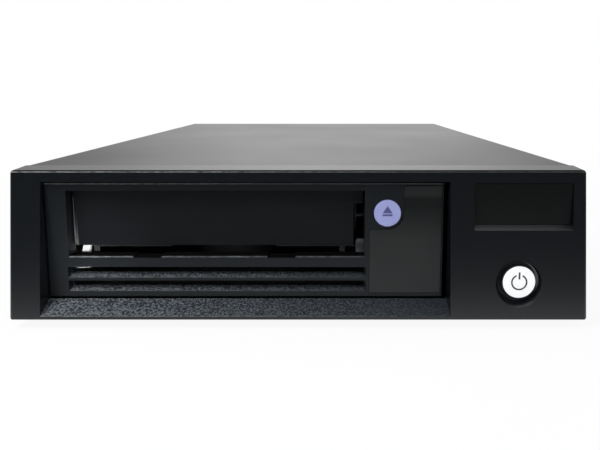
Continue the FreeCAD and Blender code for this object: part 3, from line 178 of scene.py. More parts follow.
class Finish:
    """A material and its nodes: a Principled shader whose sockets take numbers or signals."""

    def __init__(self, name, tree=None):
        if tree is None:
            self.material = bpy.data.materials.new(name)
            self.material.use_nodes = True
            tree = self.material.node_tree
        self.tree = tree
        tree.nodes.clear()

    def node(self, kind, settings=None, inputs=None, output=0):
        """Any node: its settings are set first, then its sockets' values or links."""
        made = self.tree.nodes.new(kind)
        for name, setting in (settings or {}).items():
            if name == "stops":
                self.set_stops(made.color_ramp, setting)
            else:
                setattr(made, name, setting)
        for socket, given in (inputs or {}).items():
            if isinstance(given, Signal):
                self.tree.links.new(given.socket, made.inputs[socket])
            else:
                made.inputs[socket].default_value = given
        return Signal(self, made.outputs[output])

    @staticmethod
    def set_stops(ramp, stops):
        """Gives a colour ramp its stops, which are (position, colour) pairs."""
        while len(ramp.elements) < len(stops):
            ramp.elements.new(0.5)
        for element, (position, colour) in zip(ramp.elements, stops):
            element.position = position
            element.color = (*colour, 1)

    def coordinates(self, stretch=(1, 1, 1)):
        """The piece's own coordinates in millimetres, stretched."""
        place = self.node("ShaderNodeTexCoord", output="Object")
        return self.node("ShaderNodeMapping", {"vector_type": "POINT"},
                         {"Vector": place, "Scale": [s / MM for s in stretch]})

    def part(self, vector, axis):
        """A vector's part along X, Y or Z."""
        return self.node("ShaderNodeSeparateXYZ", None, {"Vector": vector}, axis)

    def place(self, axis):
        """How far along X, Y or Z a point of the piece is, in millimetres."""
        return self.part(self.coordinates(), axis)

    def ray(self, kind):
        """1 for light rays of one kind."""
        return self.node("ShaderNodeLightPath", output="Is " + kind + " Ray")

    def seen(self):
        """1 where the camera looks straight at a surface, or through glass."""
        return self.ray("Camera") + self.ray("Transmission")

    def noise(self, size, detail, rough, stretch=(1, 1, 1)):
        """Soft noise, 0 to 1, with features of a size in millimetres."""
        return self.node("ShaderNodeTexNoise", {"noise_dimensions": "3D"},
                         {"Vector": self.coordinates(stretch), "Scale": 1 / size, "Detail": detail,
                          "Roughness": rough})

    def cells(self, size, feature="F1", stretch=(1, 1, 1), output="Distance"):
        """Distances to scattered points, a size in millimetres apart."""
        return self.node("ShaderNodeTexVoronoi", {"feature": feature},
                         {"Vector": self.coordinates(stretch), "Scale": 1 / size}, output)

    def leftward(self):
        """1 at the left end of the drive's window, falling to 0 at its right end: the share of painted
        light that falls from the left.
        """
        low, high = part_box("drive_bezel")
        return ((high.x / MM - self.place("X")) / ((high.x - low.x) / MM)).clamped()

    def nearness(self, reach, steep):
        """1 beside the case, half at a reach in metres from it, and 0 far out."""
        point = self.node("ShaderNodeTexCoord", output="Object")
        out = []
        for axis, half in (("X", CAD_BOX[1].x), ("Y", CAD_BOX[1].y)):
            from_middle = self.node("ShaderNodeMath", {"operation": "ABSOLUTE"},
                                    {0: self.part(point, axis)})
            beyond = from_middle - half
            out.append(beyond.maths("MAXIMUM", beyond, 0.0))
        away = (out[0] ** 2 + out[1] ** 2) ** 0.5
        return 1 / (1 + (away / reach) ** steep)

    def blend(self, share, low, high):
        """A colour that goes from low to high, colours or signals, as share goes from 0 to 1."""
        ends = [end if isinstance(end, Signal) else (*end, 1) for end in (low, high)]
        return self.node("ShaderNodeMix", {"data_type": "RGBA"},
                         {"Factor": share, "A": ends[0], "B": ends[1]}, "Result")

    def bump(self, height, depth, strength):
        """A bump whose full height is a depth in millimetres."""
        return self.node("ShaderNodeBump", None,
                         {"Height": height, "Distance": depth * MM, "Strength": strength})

    def choose(self, share, first, second):
        """One shader that turns into another as share goes from 0 to 1."""
        return self.node("ShaderNodeMixShader", None, {0: share, 1: first, 2: second})

    def end(self, shader, kind="ShaderNodeOutputMaterial"):
        """Joins the last shader to the surface."""
        ending = self.tree.nodes.new(kind)
        self.tree.links.new(shader.socket, ending.inputs["Surface"])

    def shade(self, **sockets):
        """Ends the material with a Principled shader."""
        inputs = {name.replace("_", " "): given for name, given in sockets.items()}
        self.end(self.node("ShaderNodeBsdfPrincipled", None, inputs))
        return self.material


# ---------------------------------------------------------------- finishes
def powder_paint():
    """Fine black powder paint on the sheet metal of the case."""
    paint = Finish("powder_paint")
    orange_peel = paint.noise(1.1, 3, 0.55)
    speckle = paint.noise(0.32, 2, 0.6)
    drift = paint.noise(70, 2, 0.5)
    return paint.shade(
        Base_Color=paint.blend(drift, (0.0110, 0.0115, 0.0120), (0.0160, 0.0165, 0.0170)),
        Roughness=0.24 + 0.06 * drift + 0.04 * speckle,
        Normal=paint.bump(orange_peel + 0.5 * speckle, 0.010, 0.4))


def moulded(name, low, high, grain, depth, rough, gleam):
    """Black moulded plastic with a spark-eroded grain of a size and a depth in millimetres."""
    plastic = Finish(name)
    pits = plastic.noise(grain, 3, 0.65)
    crumbs = plastic.cells(grain * 1.7)
    drift = plastic.noise(45, 2, 0.5)
    return plastic.shade(
        Base_Color=plastic.blend(0.6 * pits + 0.4 * drift, low, high),
        Roughness=rough + 0.10 * pits - 0.05 * drift, Specular_IOR_Level=gleam,
        Normal=plastic.bump(pits + 0.35 * crumbs, depth, 0.6))


def bezel_plastic():
    """The case's bezel: fine grain with a soft gloss."""
    return moulded("bezel_plastic", (0.0036, 0.0046, 0.0058), (0.0064, 0.0078, 0.0096),
                   0.28, 0.005, 0.22, 0.70)


def drive_plastic():
    """The drive's bezel: a duller moulding than the case's."""
    return moulded("drive_plastic", (0.0040, 0.0051, 0.0064), (0.0080, 0.0098, 0.0120),
                   0.24, 0.005, 0.30, 0.24)


def coarse_grain():
    """The sill and the louvres, where the same plastic has a coarse open grain whose crests are painted
    paler towards the left end, as painted light.
    """
    plastic = Finish("coarse_grain")
    pebbles = plastic.cells(1.0, "SMOOTH_F1")
    chips = plastic.noise(0.85, 3, 0.65)
    drift = plastic.noise(38, 2, 0.5)
    relief = (chips - 0.5) * 6.5 + 0.60 - 0.4 * pebbles
    # painted light: the crests pale towards the left end, where more light falls
    painted_light_crests = plastic.blend(plastic.leftward() ** 1.5, (0.036, 0.043, 0.051), (0.178, 0.195, 0.217))
    return plastic.shade(
        Base_Color=plastic.blend(relief.clamped(), (0.018, 0.021, 0.025), painted_light_crests),
        Roughness=0.30 + 0.15 * drift, Normal=plastic.bump(relief, 0.10, 0.9))


def rubbed_highlight_arris(name, least, most, gleam=0.14):
    """A grey, speckled line along a sharp edge of black plastic: partly rubbed wear, partly a painted
    highlight that grows paler towards the left end.
    """
    plastic = Finish(name)
    specks = (plastic.noise(1.1, 4, 0.7, (0.5, 1, 1)) - 0.5) * 2.6 + 0.5
    # painted highlight: the line pales towards the left end, where more light falls
    wear_and_highlight = specks * (0.15 + 0.85 * plastic.leftward())
    return plastic.shade(
        Base_Color=plastic.blend(wear_and_highlight, (least, least, least), (most, most * 1.01, most * 1.03)),
        Roughness=0.54 + 0.1 * specks, Specular_IOR_Level=gleam,
        Normal=plastic.bump(specks, 0.02, 0.5))


def polished_plastic():
    """The bezel's top face and the ring round the power button, where the mould is polished."""
    plastic = Finish("polished_plastic")
    drift = plastic.noise(45, 2, 0.5)
    fine = plastic.noise(0.5, 2, 0.6)
    return plastic.shade(
        Base_Color=plastic.blend(drift, (0.012, 0.013, 0.014), (0.018, 0.019, 0.020)),
        Roughness=0.13 + 0.06 * drift, Specular_IOR_Level=0.72,
        Normal=plastic.bump(fine, 0.003, 0.3))


def satin_door():
    """The door's satin black, with a pale line down its left edge: partly rubbed wear, partly a painted
    highlight that grows towards the bottom.
    """
    arris, chamfer = 0.62, 1.7  # how far from the left edge the pale line and the paler slope reach
    line_starts_below = 4.7  # how far below the top the pale line starts
    door = Finish("satin_door")
    low, high = (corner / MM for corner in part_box("cartridge_door"))
    fine = door.noise(0.35, 2, 0.6)
    rubbed = door.noise(16, 3, 0.6, (1, 1, 3))
    across = door.place("X")
    height = door.place("Z")
    lower = ((high.z - height) / (high.z - low.z)).clamped()
    # pale line along the left edge: partly wear, partly painted highlight, starting below the top
    pale_edge = (across + 0.35 * fine < low.x + arris) * (height < high.z - line_starts_below)
    sloping = across < low.x + chamfer
    # painted highlight: the slope and the pale line grow paler towards the bottom
    wear_and_highlight = 0.16 * sloping * lower ** 4 + pale_edge * (0.34 + 0.60 * lower ** 2)
    satin = door.blend(rubbed, (0.0048, 0.0054, 0.0064), (0.0076, 0.0084, 0.0098))
    return door.shade(
        Base_Color=door.blend(wear_and_highlight, satin, (0.62, 0.63, 0.64)), Roughness=0.44 + 0.16 * rubbed,
        Specular_IOR_Level=0.12, Normal=door.bump(fine, 0.006, 0.4))


def gloss_panel():
    """The blank label panel: smooth black with faint wiping marks."""
    panel = Finish("gloss_panel")
    wiped = panel.noise(5, 4, 0.6, (0.25, 1, 2.2))
    dust = panel.noise(0.4, 2, 0.7) ** 6
    return panel.shade(
        Base_Color=panel.blend(dust, (0.0040, 0.0043, 0.0043), (0.016, 0.016, 0.017)),
        Roughness=0.14 + 0.10 * wiped, Specular_IOR_Level=0.20,
        Normal=panel.bump(wiped, 0.004, 0.25))


def smoked_acrylic():
    """The status window: dark smoked acrylic with a slight green cast, a pale band along its top as
    painted reflection, and paler towards the bottom as painted light.
    """
    acrylic = Finish("smoked_acrylic")
    cloud = acrylic.noise(22, 2, 0.5)
    wiped = acrylic.noise(4, 4, 0.6, (1, 1, 0.3))
    height = acrylic.place("Z")
    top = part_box("status_window")[1].z / MM
    # painted reflection: a pale band along the top
    reflection_foot, reflection_fade = top - 4.8, 1.4
    # painted light: paler towards the bottom
    pale_start, pale_fade = top - 8, 12
    reflection_band = ((height - reflection_foot) / reflection_fade).clamped()
    low = ((pale_start - height) / pale_fade).clamped()
    return acrylic.shade(
        Base_Color=acrylic.blend(0.34 * reflection_band + 0.46 * low + 0.15 * cloud,
                                 (0.0036, 0.0040, 0.0041), (0.0270, 0.0295, 0.0290)),
        Roughness=0.20 + 0.08 * wiped, Specular_IOR_Level=0.25,
        Normal=acrylic.bump(cloud, 0.05, 0.2))


def button_plastic(name, low, high, rough, glow=0.0):
    """Pale button plastic: faint cloudiness, a fine moulded skin, and an even painted glow where one is
    given.
    """
    plastic = Finish(name)
    cloud = plastic.noise(6, 2, 0.5)
    skin = plastic.noise(0.3, 2, 0.6)
    handled = plastic.noise(2.2, 3, 0.6)
    return plastic.shade(
        Base_Color=plastic.blend(cloud * 0.6 + handled * 0.4, low, high),
        Roughness=rough + 0.14 * handled,
        Emission_Color=(1, 1, 1, 1), Emission_Strength=glow,
        Normal=plastic.bump(skin, 0.004, 0.4))


def printing_ink(name, colour, pale):
    """Pad-printed ink: a little thin in places."""
    ink = Finish(name)
    thin = ink.noise(0.35, 3, 0.6)
    return ink.shade(Base_Color=ink.blend(thin, colour, pale), Roughness=0.42 + 0.2 * thin)


def foot_rubber():
    """Black rubber with a grey bloom and open pores."""
    rubber = Finish("foot_rubber")
    bloom = rubber.noise(2.4, 4, 0.6)
    pores = rubber.cells(0.5)
    return rubber.shade(
        Base_Color=rubber.blend(bloom, (0.016, 0.016, 0.016), (0.034, 0.034, 0.033)),
        Roughness=0.72 + 0.2 * bloom,
        Normal=rubber.bump(pores, 0.04, 0.5))


def sheet_metal(name, low, high, rough, direction):
    """Bare plated sheet: brushed along one axis, with spangle and a few handling marks."""
    metal = Finish(name)
    brushed = metal.noise(0.25, 3, 0.6, direction)
    spangle = metal.cells(7, output="Color")
    smear = metal.noise(18, 3, 0.6)
    tone = metal.blend(0.25, metal.blend(smear, low, high), spangle)
    grey = metal.node("ShaderNodeHueSaturation", None, {"Saturation": 0.0, "Color": tone})
    return metal.shade(
        Base_Color=grey, Metallic=1.0,
        Roughness=rough + 0.14 * smear + 0.08 * brushed,
        Normal=metal.bump(brushed, 0.006, 0.4))


def turned_metal(name, low, high, rough):
    """Turned or ground metal: fine rings of tool marks and slight staining."""
    metal = Finish(name)
    marks = metal.noise(0.16, 2, 0.5, (0.2, 0.2, 1))
    stain = metal.noise(5, 3, 0.6)
    return metal.shade(
        Base_Color=metal.blend(stain, low, high), Metallic=1.0,
        Roughness=rough + 0.12 * stain + 0.08 * marks,
        Normal=metal.bump(marks, 0.004, 0.4))


def plain_plastic(name, low, high, rough, size=9):
    """Inner mouldings: even colour with flow marks and a light texture."""
    plastic = Finish(name)
    flow = plastic.noise(size, 3, 0.55, (1, 0.4, 1))
    skin = plastic.noise(0.4, 2, 0.6)
    return plastic.shade(
        Base_Color=plastic.blend(flow, low, high),
        Roughness=rough + 0.14 * flow,
        Normal=plastic.bump(skin, 0.01, 0.4))


def circuit_board():
    """Green solder mask over square-cornered copper, with pads in rows."""
    board = Finish("circuit_board")
    tracks = board.cells(3.1, "F1", (1, 1, 0.01))
    lanes = board.node("ShaderNodeTexBrick", {"offset": 0.37, "squash": 0.6},
                       {"Vector": board.coordinates((1, 1, 0.01)), "Scale": 0.11,
                        "Mortar Size": 0.035, "Color1": (0, 0, 0, 1), "Color2": (0, 0, 0, 1),
                        "Mortar": (1, 1, 1, 1)}, "Fac")
    pads = tracks < 0.12
    mask = board.blend(lanes, (0.006, 0.070, 0.024), (0.016, 0.125, 0.045))
    return board.shade(
        Base_Color=board.blend(pads, mask, (0.62, 0.55, 0.40)), Metallic=0.85 * pads,
        Roughness=0.34 + 0.1 * lanes, Normal=board.bump(lanes + pads, 0.03, 0.5))


def taped_winding():
    """Yellow tape laid round a winding, in overlapping turns."""
    tape = Finish("taped_winding")
    laps = tape.node("ShaderNodeTexWave", {"wave_type": "BANDS", "bands_direction": "Z"},
                     {"Vector": tape.coordinates(), "Scale": 0.05, "Distortion": 0.6}, "Fac")
    return tape.shade(
        Base_Color=tape.blend(laps, (0.42, 0.24, 0.03), (0.60, 0.38, 0.07)),
        Roughness=0.32 + 0.15 * laps, Normal=tape.bump(laps, 0.08, 0.5))


# the way to make each slot's finish, and its name, tones, roughness and, where it has one,
# its brushing direction, size or glow
SLOT_FINISHES = {
    # painted glow: the white button's last value brightens it evenly
    "white_button": (button_plastic, "white_button", (0.80, 0.81, 0.82), (0.90, 0.90, 0.90), 0.30, 0.12),
    "blue_button": (button_plastic, "blue_button", (0.250, 0.272, 0.510), (0.295, 0.315, 0.575), 0.24),
    "lamp": (button_plastic, "lamp_lens", (0.50, 0.56, 0.50), (0.66, 0.72, 0.66), 0.16),
    "screw_steel": (turned_metal, "black_screws", (0.045, 0.045, 0.048), (0.10, 0.10, 0.10), 0.34),
    "bright_steel": (turned_metal, "bright_steel", (0.52, 0.52, 0.53), (0.70, 0.70, 0.71), 0.22),
    "motor_metal": (turned_metal, "motor_metal", (0.36, 0.36, 0.37), (0.50, 0.50, 0.51), 0.28),
    "roller_metal": (turned_metal, "roller_metal", (0.60, 0.61, 0.62), (0.76, 0.77, 0.78), 0.16),
    "head_metal": (turned_metal, "head_metal", (0.24, 0.23, 0.22), (0.38, 0.37, 0.35), 0.18),
    "contact": (turned_metal, "contact_metal", (0.52, 0.42, 0.22), (0.72, 0.60, 0.36), 0.20),
    # painted shade: galvanised toned down so that the sheet seen through the openings stays dim
    "galvanised": (sheet_metal, "galvanised_sheet", (0.34, 0.345, 0.35), (0.50, 0.505, 0.51), 0.36,
                   (1, 0.04, 1)),
    "deck_metal": (sheet_metal, "deck_metal", (0.40, 0.41, 0.42), (0.60, 0.61, 0.62), 0.36, (0.04, 1, 1)),
    "heatsink": (sheet_metal, "heatsink_metal", (0.48, 0.49, 0.50), (0.66, 0.67, 0.68), 0.32,
                 (1, 1, 0.04)),
    "cage": (sheet_metal, "socket_cage", (0.50, 0.50, 0.50), (0.68, 0.68, 0.67), 0.24, (1, 0.05, 1)),
    # painted shade: near black, so that the tray and slider seen through the slot read as shade
    "blackened_sheet": (plain_plastic, "blackened_sheet", (0.030, 0.031, 0.033), (0.050, 0.051, 0.053),
                        0.34),
    "nylon": (plain_plastic, "natural_nylon", (0.78, 0.78, 0.75), (0.88, 0.88, 0.86), 0.38),
    # painted shade: darkened, so that the reel driver seen through the slot reads as shade
    "driver_plastic": (plain_plastic, "driver_plastic", (0.060, 0.061, 0.064), (0.095, 0.096, 0.10),
                       0.40),
    "reel_plastic": (plain_plastic, "reel_plastic", (0.045, 0.045, 0.050), (0.085, 0.085, 0.09), 0.26),
    "component_black": (plain_plastic, "component_black", (0.012, 0.012, 0.013), (0.024, 0.024, 0.025),
                        0.42),
    "digit": (plain_plastic, "digit_face", (0.050, 0.050, 0.052), (0.085, 0.085, 0.088), 0.30),
    "capacitor": (plain_plastic, "capacitor_sleeve", (0.012, 0.014, 0.050), (0.020, 0.024, 0.080), 0.24),
    "lead_grey": (plain_plastic, "lead_sheath", (0.17, 0.18, 0.19), (0.28, 0.29, 0.30), 0.46, 4),
}


def record_finishes():
    """The finish of each material slot that the record names."""
    finishes = {
        "case_paint": powder_paint(),
        "bezel_plastic": bezel_plastic(),
        "badge_panel": gloss_panel(),
        "door_plastic": satin_door(),
        "smoked_window": smoked_acrylic(),
        "rubber": foot_rubber(),
        "board": circuit_board(),
        "transformer": taped_winding(),
    }
    for slot, (make, *values) in SLOT_FINISHES.items():
        finishes[slot] = make(*values)
    return finishes


# ---------------------------------------------------------------- making pieces
def finish_piece(name, mesh, body, finishes, stands_for=()):
    """Turns a bmesh into a shaded piece that rides on a body."""
    data = bpy.data.meshes.new(name)
    mesh.to_mesh(data)
    mesh.free()
    for finish in finishes:
        data.materials.append(finish)
    data.shade_smooth()
    data.set_sharp_from_angle(angle=SHARP)
    piece = bpy.data.objects.new(name, data)
    bpy.context.collection.objects.link(piece)
    weighted = piece.modifiers.new("Even shading", "WEIGHTED_NORMAL")
    weighted.keep_sharp = True
    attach(piece, body)
    if stands_for:
        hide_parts(*stands_for)


def merged_copy(node):
    """A bmesh of a node's solid, its corners joined and its flat faces made whole."""
    mesh = bmesh.new()
    mesh.from_mesh(NODES[node].data)
    bmesh.ops.remove_doubles(mesh, verts=mesh.verts, dist=JOIN_WITHIN)
    bmesh.ops.dissolve_limit(mesh, angle_limit=FLAT_WITHIN, use_dissolve_boundaries=False,
                             verts=mesh.verts, edges=mesh.edges, delimit=set())
    return mesh


def round_edges(mesh, width, segments, chosen=lambda edge: True, index=None):
    """Rounds the chosen folded edges by a width in millimetres.

    An index gives the new faces a material of their own.
    """
    edges = [e for e in mesh.edges
             if len(e.link_faces) == 2 and e.calc_face_angle(0) > FOLD and chosen(e)]
    rounded = bmesh.ops.bevel(mesh, geom=edges, offset=width * MM, offset_type="OFFSET",
                              segments=segments, profile=0.5, affect="EDGES",
                              clamp_overlap=True, material=-1)
    if index is not None:
        for face in rounded["faces"]:
            face.material_index = index
    return mesh


def revolve(outline, centre, axis, steps):
    """A round form about Y or Z: outline is (radius, place along the axis) pairs in millimetres."""
    mesh = bmesh.new()
    across = Vector((1, 0, 0))
    along = {"Y": Vector((0, 1, 0)), "Z": Vector((0, 0, 1))}[axis]
    middle = Vector(centre)
    corners = [mesh.verts.new(middle + across * radius * MM + along * place * MM)
               for radius, place in outline]
    edges = [mesh.edges.new(pair) for pair in zip(corners, corners[1:])]
    bmesh.ops.spin(mesh, geom=corners + edges, cent=middle, axis=along, angle=math.tau,
                   steps=steps, use_merge=True, use_duplicate=False)
    bmesh.ops.remove_doubles(mesh, verts=mesh.verts, dist=1e-6)
    bmesh.ops.recalc_face_normals(mesh, faces=mesh.faces)
    return mesh


def join(first, second):
    """Moves the second bmesh into the first."""
    data = bpy.data.meshes.new("joined")
    second.to_mesh(data)
    second.free()
    first.from_mesh(data)
    bpy.data.meshes.remove(data)
    return first


def verts_of(geometry):
    """The corners among an operator's results."""
    return [part for part in geometry if isinstance(part, bmesh.types.BMVert)]


def edges_of(geometry):
    """The edges among an operator's results."""
    return [part for part in geometry if isinstance(part, bmesh.types.BMEdge)]


def rounded_run(start, end, count=6):
    """Quarter-round points from start to end, both (radius, place), that bend outwards first."""
    points = []
    for n in range(count + 1):
        turn = math.pi / 2 * n / count
        shares = (math.sin(turn), 1 - math.cos(turn))
        points.append(tuple(a + (b - a) * share for a, b, share in zip(start, end, shares)))
    return points


# ---------------------------------------------------------------- the moulded front
def facing_up(face, least, most):
    """True for a face that slopes: its normal's upward share lies between two values."""
    return least < face.normal.z < most


def borders_grain(edge):
    """True for a front edge between a grained face and a plain one that faces forward."""
    first, second = sorted(edge.link_faces, key=lambda face: face.material_index)
    meets = (first.material_index, second.material_index) == (PLAIN, GRAINED)
    return meets and edge.is_convex and first.normal.y < -0.9


def overhangs(edge):
    """True for the lower front edge of a rib."""
    return (any(face.normal.z < -0.3 for face in edge.link_faces)
            and any(face.normal.y < -0.9 for face in edge.link_faces))


def make_front_bezel(finishes):
    """The case's bezel: sharp arrises rounded, a coarse grain on its sloping sill, and painted highlight
    lines along the sill's front edge and the top front edge.
    """
    pale_edge, bottom, soft = 0.45, 0.08, 0.26  # edge widths in millimetres
    mesh = merged_copy("front_bezel")
    low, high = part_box("front_bezel")
    drive_low, drive_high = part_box("drive_bezel")
    mesh.normal_update()
    for face in mesh.faces:
        place = face.calc_center_median()
        in_window = drive_low.x - 2 * MM < place.x < drive_high.x + 2 * MM
        on_sill = in_window and place.z < drive_low.z and place.y < drive_low.y
        above = place.z > drive_high.z
        if on_sill and facing_up(face, 0.5, 0.98):
            face.material_index = GRAINED
        elif above and face.normal.z > 0.99:
            face.material_index = POLISHED
        # painted highlight: a pale line on the middle of the top front rounding, a dull one above it
        elif above and facing_up(face, 0.22, 0.98) and face.normal.y < -0.1:
            face.material_index = HIGHLIGHT_LINE if face.normal.z < 0.62 else DULL_LINE
    foot = low.z + 0.5 * MM
    right = high.x - 0.2 * MM
    # painted highlight: a pale line along the sill's front edge
    round_edges(mesh, pale_edge, CREST, borders_grain, HIGHLIGHT_LINE)
    round_edges(mesh, bottom, 1, lambda edge: all(v.co.z < foot for v in edge.verts))
    round_edges(mesh, soft, FULL_ROUND, lambda edge: all(v.co.x > right for v in edge.verts), DULL_LINE)
    round_edges(mesh, soft, FULL_ROUND)
    finish_piece("bezel_moulding", mesh, "enclosure",
                 [finishes["bezel_plastic"], coarse_grain(), polished_plastic(),
                  rubbed_highlight_arris("bezel_arris_highlight", 0.02, 0.24),
                  rubbed_highlight_arris("dull_arris", 0.0025, 0.007, 0.03)],
                 ["front_bezel"])


def make_drive_bezel():
    """The drive's own bezel: slot, louvres with coarse floors, and the window's frame, with painted
    highlight lines along the top edge, the slot's lip and the louvre floors' front edges.
    """
    pale_edge, soft = 0.34, 0.16  # edge widths in millimetres
    mesh = merged_copy("drive_bezel")
    mesh.normal_update()
    slot_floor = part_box("cartridge_door")[0].z - 4 * MM
    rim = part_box("drive_bezel")[1].z - 0.6 * MM
    for face in mesh.faces:
        place = face.calc_center_median()
        on_floor = slot_floor - 1.5 * MM < place.z < slot_floor + 2 * MM
        if facing_up(face, 0.3, 0.98) and place.z < slot_floor:
            face.material_index = GRAINED
        # painted highlight: a pale seam line along the top edge, and a pale line on the slot's lip
        elif place.z > rim and facing_up(face, 0.4, 0.95):
            face.material_index = SEAM_LINE
        elif facing_up(face, 0.6, 0.8) and face.normal.y < -0.6:
            face.material_index = SLOT_LINE
        elif facing_up(face, 0.99, 1.01) and on_floor:
            face.material_index = DULL_LINE
    # painted highlight along the louvre floors' front edges
    round_edges(mesh, pale_edge, CREST, borders_grain, SLOT_LINE)
    round_edges(mesh, soft, CREST, overhangs, DULL_LINE)
    round_edges(mesh, soft, CREST)
    finish_piece("drive_bezel_moulding", mesh, "enclosure",
                 [drive_plastic(), bpy.data.materials["coarse_grain"],
                  rubbed_highlight_arris("slot_arris_highlight", 0.02, 0.15), rubbed_highlight_arris("seam_arris_highlight", 0.10, 0.42),
                  bpy.data.materials["dull_arris"]],
                 ["drive_bezel"])


def make_rounded_copies(rows, finishes):
    """Copies of solids, with the rounded edges of moulded plastic and folded sheet."""
    for name, node, body, slot, width, segments in rows:
        mesh = round_edges(merged_copy(node), width, segments)
        finish_piece(name, mesh, body, [finishes[slot]], [node])


# ---------------------------------------------------------------- the buttons and their signs
def face_centre(node):
    """The middle of a node's front face."""
    low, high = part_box(node)
    return Vector(((low.x + high.x) / 2, low.y, (low.z + high.z) / 2))


def make_button(name, node, body, slot, face_radius, skirt_radius, finishes, collar=()):
    """A round cap with a softly domed face and a skirt, ahead of the node's own stem.

    A collar is the finish of everything behind the face, in a list.
    """
    stem, skirt_start, skirt_end, face_depth = 1.2, 2.2, 1.0, 0.3
    low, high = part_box(node)
    depth = (high.y - low.y) / MM
    dome = [(0, 0.0), (face_radius * 0.55, 0.0), (face_radius * 0.84, 0.05)]
    arris = rounded_run((face_radius * 0.95, 0.07), (face_radius, 0.37))
    skirt = [(face_radius, depth - skirt_start), (skirt_radius, depth - skirt_start),
             (skirt_radius, depth - skirt_end)]
    back = [(stem, depth - skirt_end), (stem, depth - GAP), (0, depth - GAP)]
    mesh = revolve(dome + arris + skirt + back, face_centre(node), "Y", BUTTON_STEPS)
    for face in mesh.faces:
        if collar and face.calc_center_median().y > low.y + face_depth * MM:
            face.material_index = 1
    finish_piece(name, mesh, body, [finishes[slot], *collar], [node])


def make_surround():
    """A polished black ring that lines the bowl round the power button."""
    # (radius, place behind the button's face) in millimetres
    outline = [(6.20, 2.25), (7.58, 1.80), (6.95, 2.90), (6.20, 3.40), (6.20, 2.25)]
    ring = revolve(outline, face_centre("power_button"), "Y", BUTTON_STEPS)
    finish_piece("button_surround", ring, "enclosure",
                 [bpy.data.materials["polished_plastic"]])


def flat_sign(outline, centre):
    """A thin raised sign: an (x, z) outline in millimetres about a centre on a face to the front."""
    mesh = bmesh.new()
    front = centre.y - SIGN_LIFT * MM
    corners = [mesh.verts.new((centre.x + x * MM, front, centre.z + z * MM)) for x, z in outline]
    face = mesh.faces.new(corners)
    extruded = bmesh.ops.extrude_face_region(mesh, geom=[face])["geom"]
    bmesh.ops.translate(mesh, verts=verts_of(extruded), vec=(0, SIGN_THICK * MM, 0))
    bmesh.ops.recalc_face_normals(mesh, faces=mesh.faces)
    return mesh


def bar(half_width, bottom, top):
    """The outline of an upright rectangle, for flat_sign."""
    return [(-half_width, bottom), (half_width, bottom), (half_width, top), (-half_width, top)]


def broken_ring(centre, radius, stroke, gap):
    """A ring that is open at its top by a gap in degrees either side."""
    mesh = bmesh.new()
    corners = []
    for across, along in ((-1, 0), (1, 0), (1, 1), (-1, 1)):
        corners.append(mesh.verts.new((centre.x,
                                       centre.y + (along * SIGN_THICK - SIGN_LIFT) * MM,
                                       centre.z + (radius + across * stroke / 2) * MM)))
    section = mesh.faces.new(corners)
    turn = Matrix.Rotation(math.radians(gap), 4, "Y")
    bmesh.ops.rotate(mesh, verts=mesh.verts, cent=centre, matrix=turn)
    bmesh.ops.spin(mesh, geom=[section] + list(section.edges) + list(section.verts), cent=centre,
                   axis=(0, 1, 0), angle=math.radians(360 - 2 * gap), steps=72,
                   use_duplicate=False)
    bmesh.ops.remove_doubles(mesh, verts=mesh.verts, dist=1e-7)
    bmesh.ops.recalc_face_normals(mesh, faces=mesh.faces)
    return mesh


def make_signs():
    """The generic stand-by sign on the power button and the eject sign on the other."""
    centre = face_centre("power_button")
    ring = broken_ring(centre, radius=2.72, stroke=0.56, gap=24)
    stroke = flat_sign(bar(0.31, 1.15, 3.8), centre)
    grey_ink = printing_ink("grey_ink", (0.014, 0.015, 0.017), (0.030, 0.032, 0.035))
    finish_piece("standby_sign", join(ring, stroke), "power", [grey_ink])

    centre = face_centre("eject_button")
    half_width = 1.87
    arrow = flat_sign([(-half_width, 0.05), (half_width, 0.05), (0, 2.75)], centre)
    line = flat_sign(bar(half_width, -1.05, -0.33), centre)
    indigo = printing_ink("indigo_ink", (0.050, 0.051, 0.160), (0.085, 0.087, 0.250))
    finish_piece("eject_sign", join(arrow, line), "eject", [indigo])


# ---------------------------------------------------------------- feet and screws
def make_feet(finishes):
    """Four turned rubber feet, each with a hollow under its middle."""
    radius, hollow, top_gap = 7.0, 1.4, 0.01
    low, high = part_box("rubber_feet")
    top = (high.z - low.z) / MM - top_gap
    outline = [(0, hollow), (2.6, hollow), (3.1, 0.15), (3.4, 0)]
    outline += rounded_run((radius - 1.1, 0), (radius - 0.35, 0.75))
    outline += [(radius, top), (0, top)]
    feet = bmesh.new()
    for x in (low.x + radius * MM, high.x - radius * MM):
        for y in (low.y + radius * MM, high.y - radius * MM):
            join(feet, revolve(outline, (x, y, low.z), "Z", FOOT_STEPS))
    finish_piece("turned_feet", feet, "enclosure", [finishes["rubber"]], ["rubber_feet"])


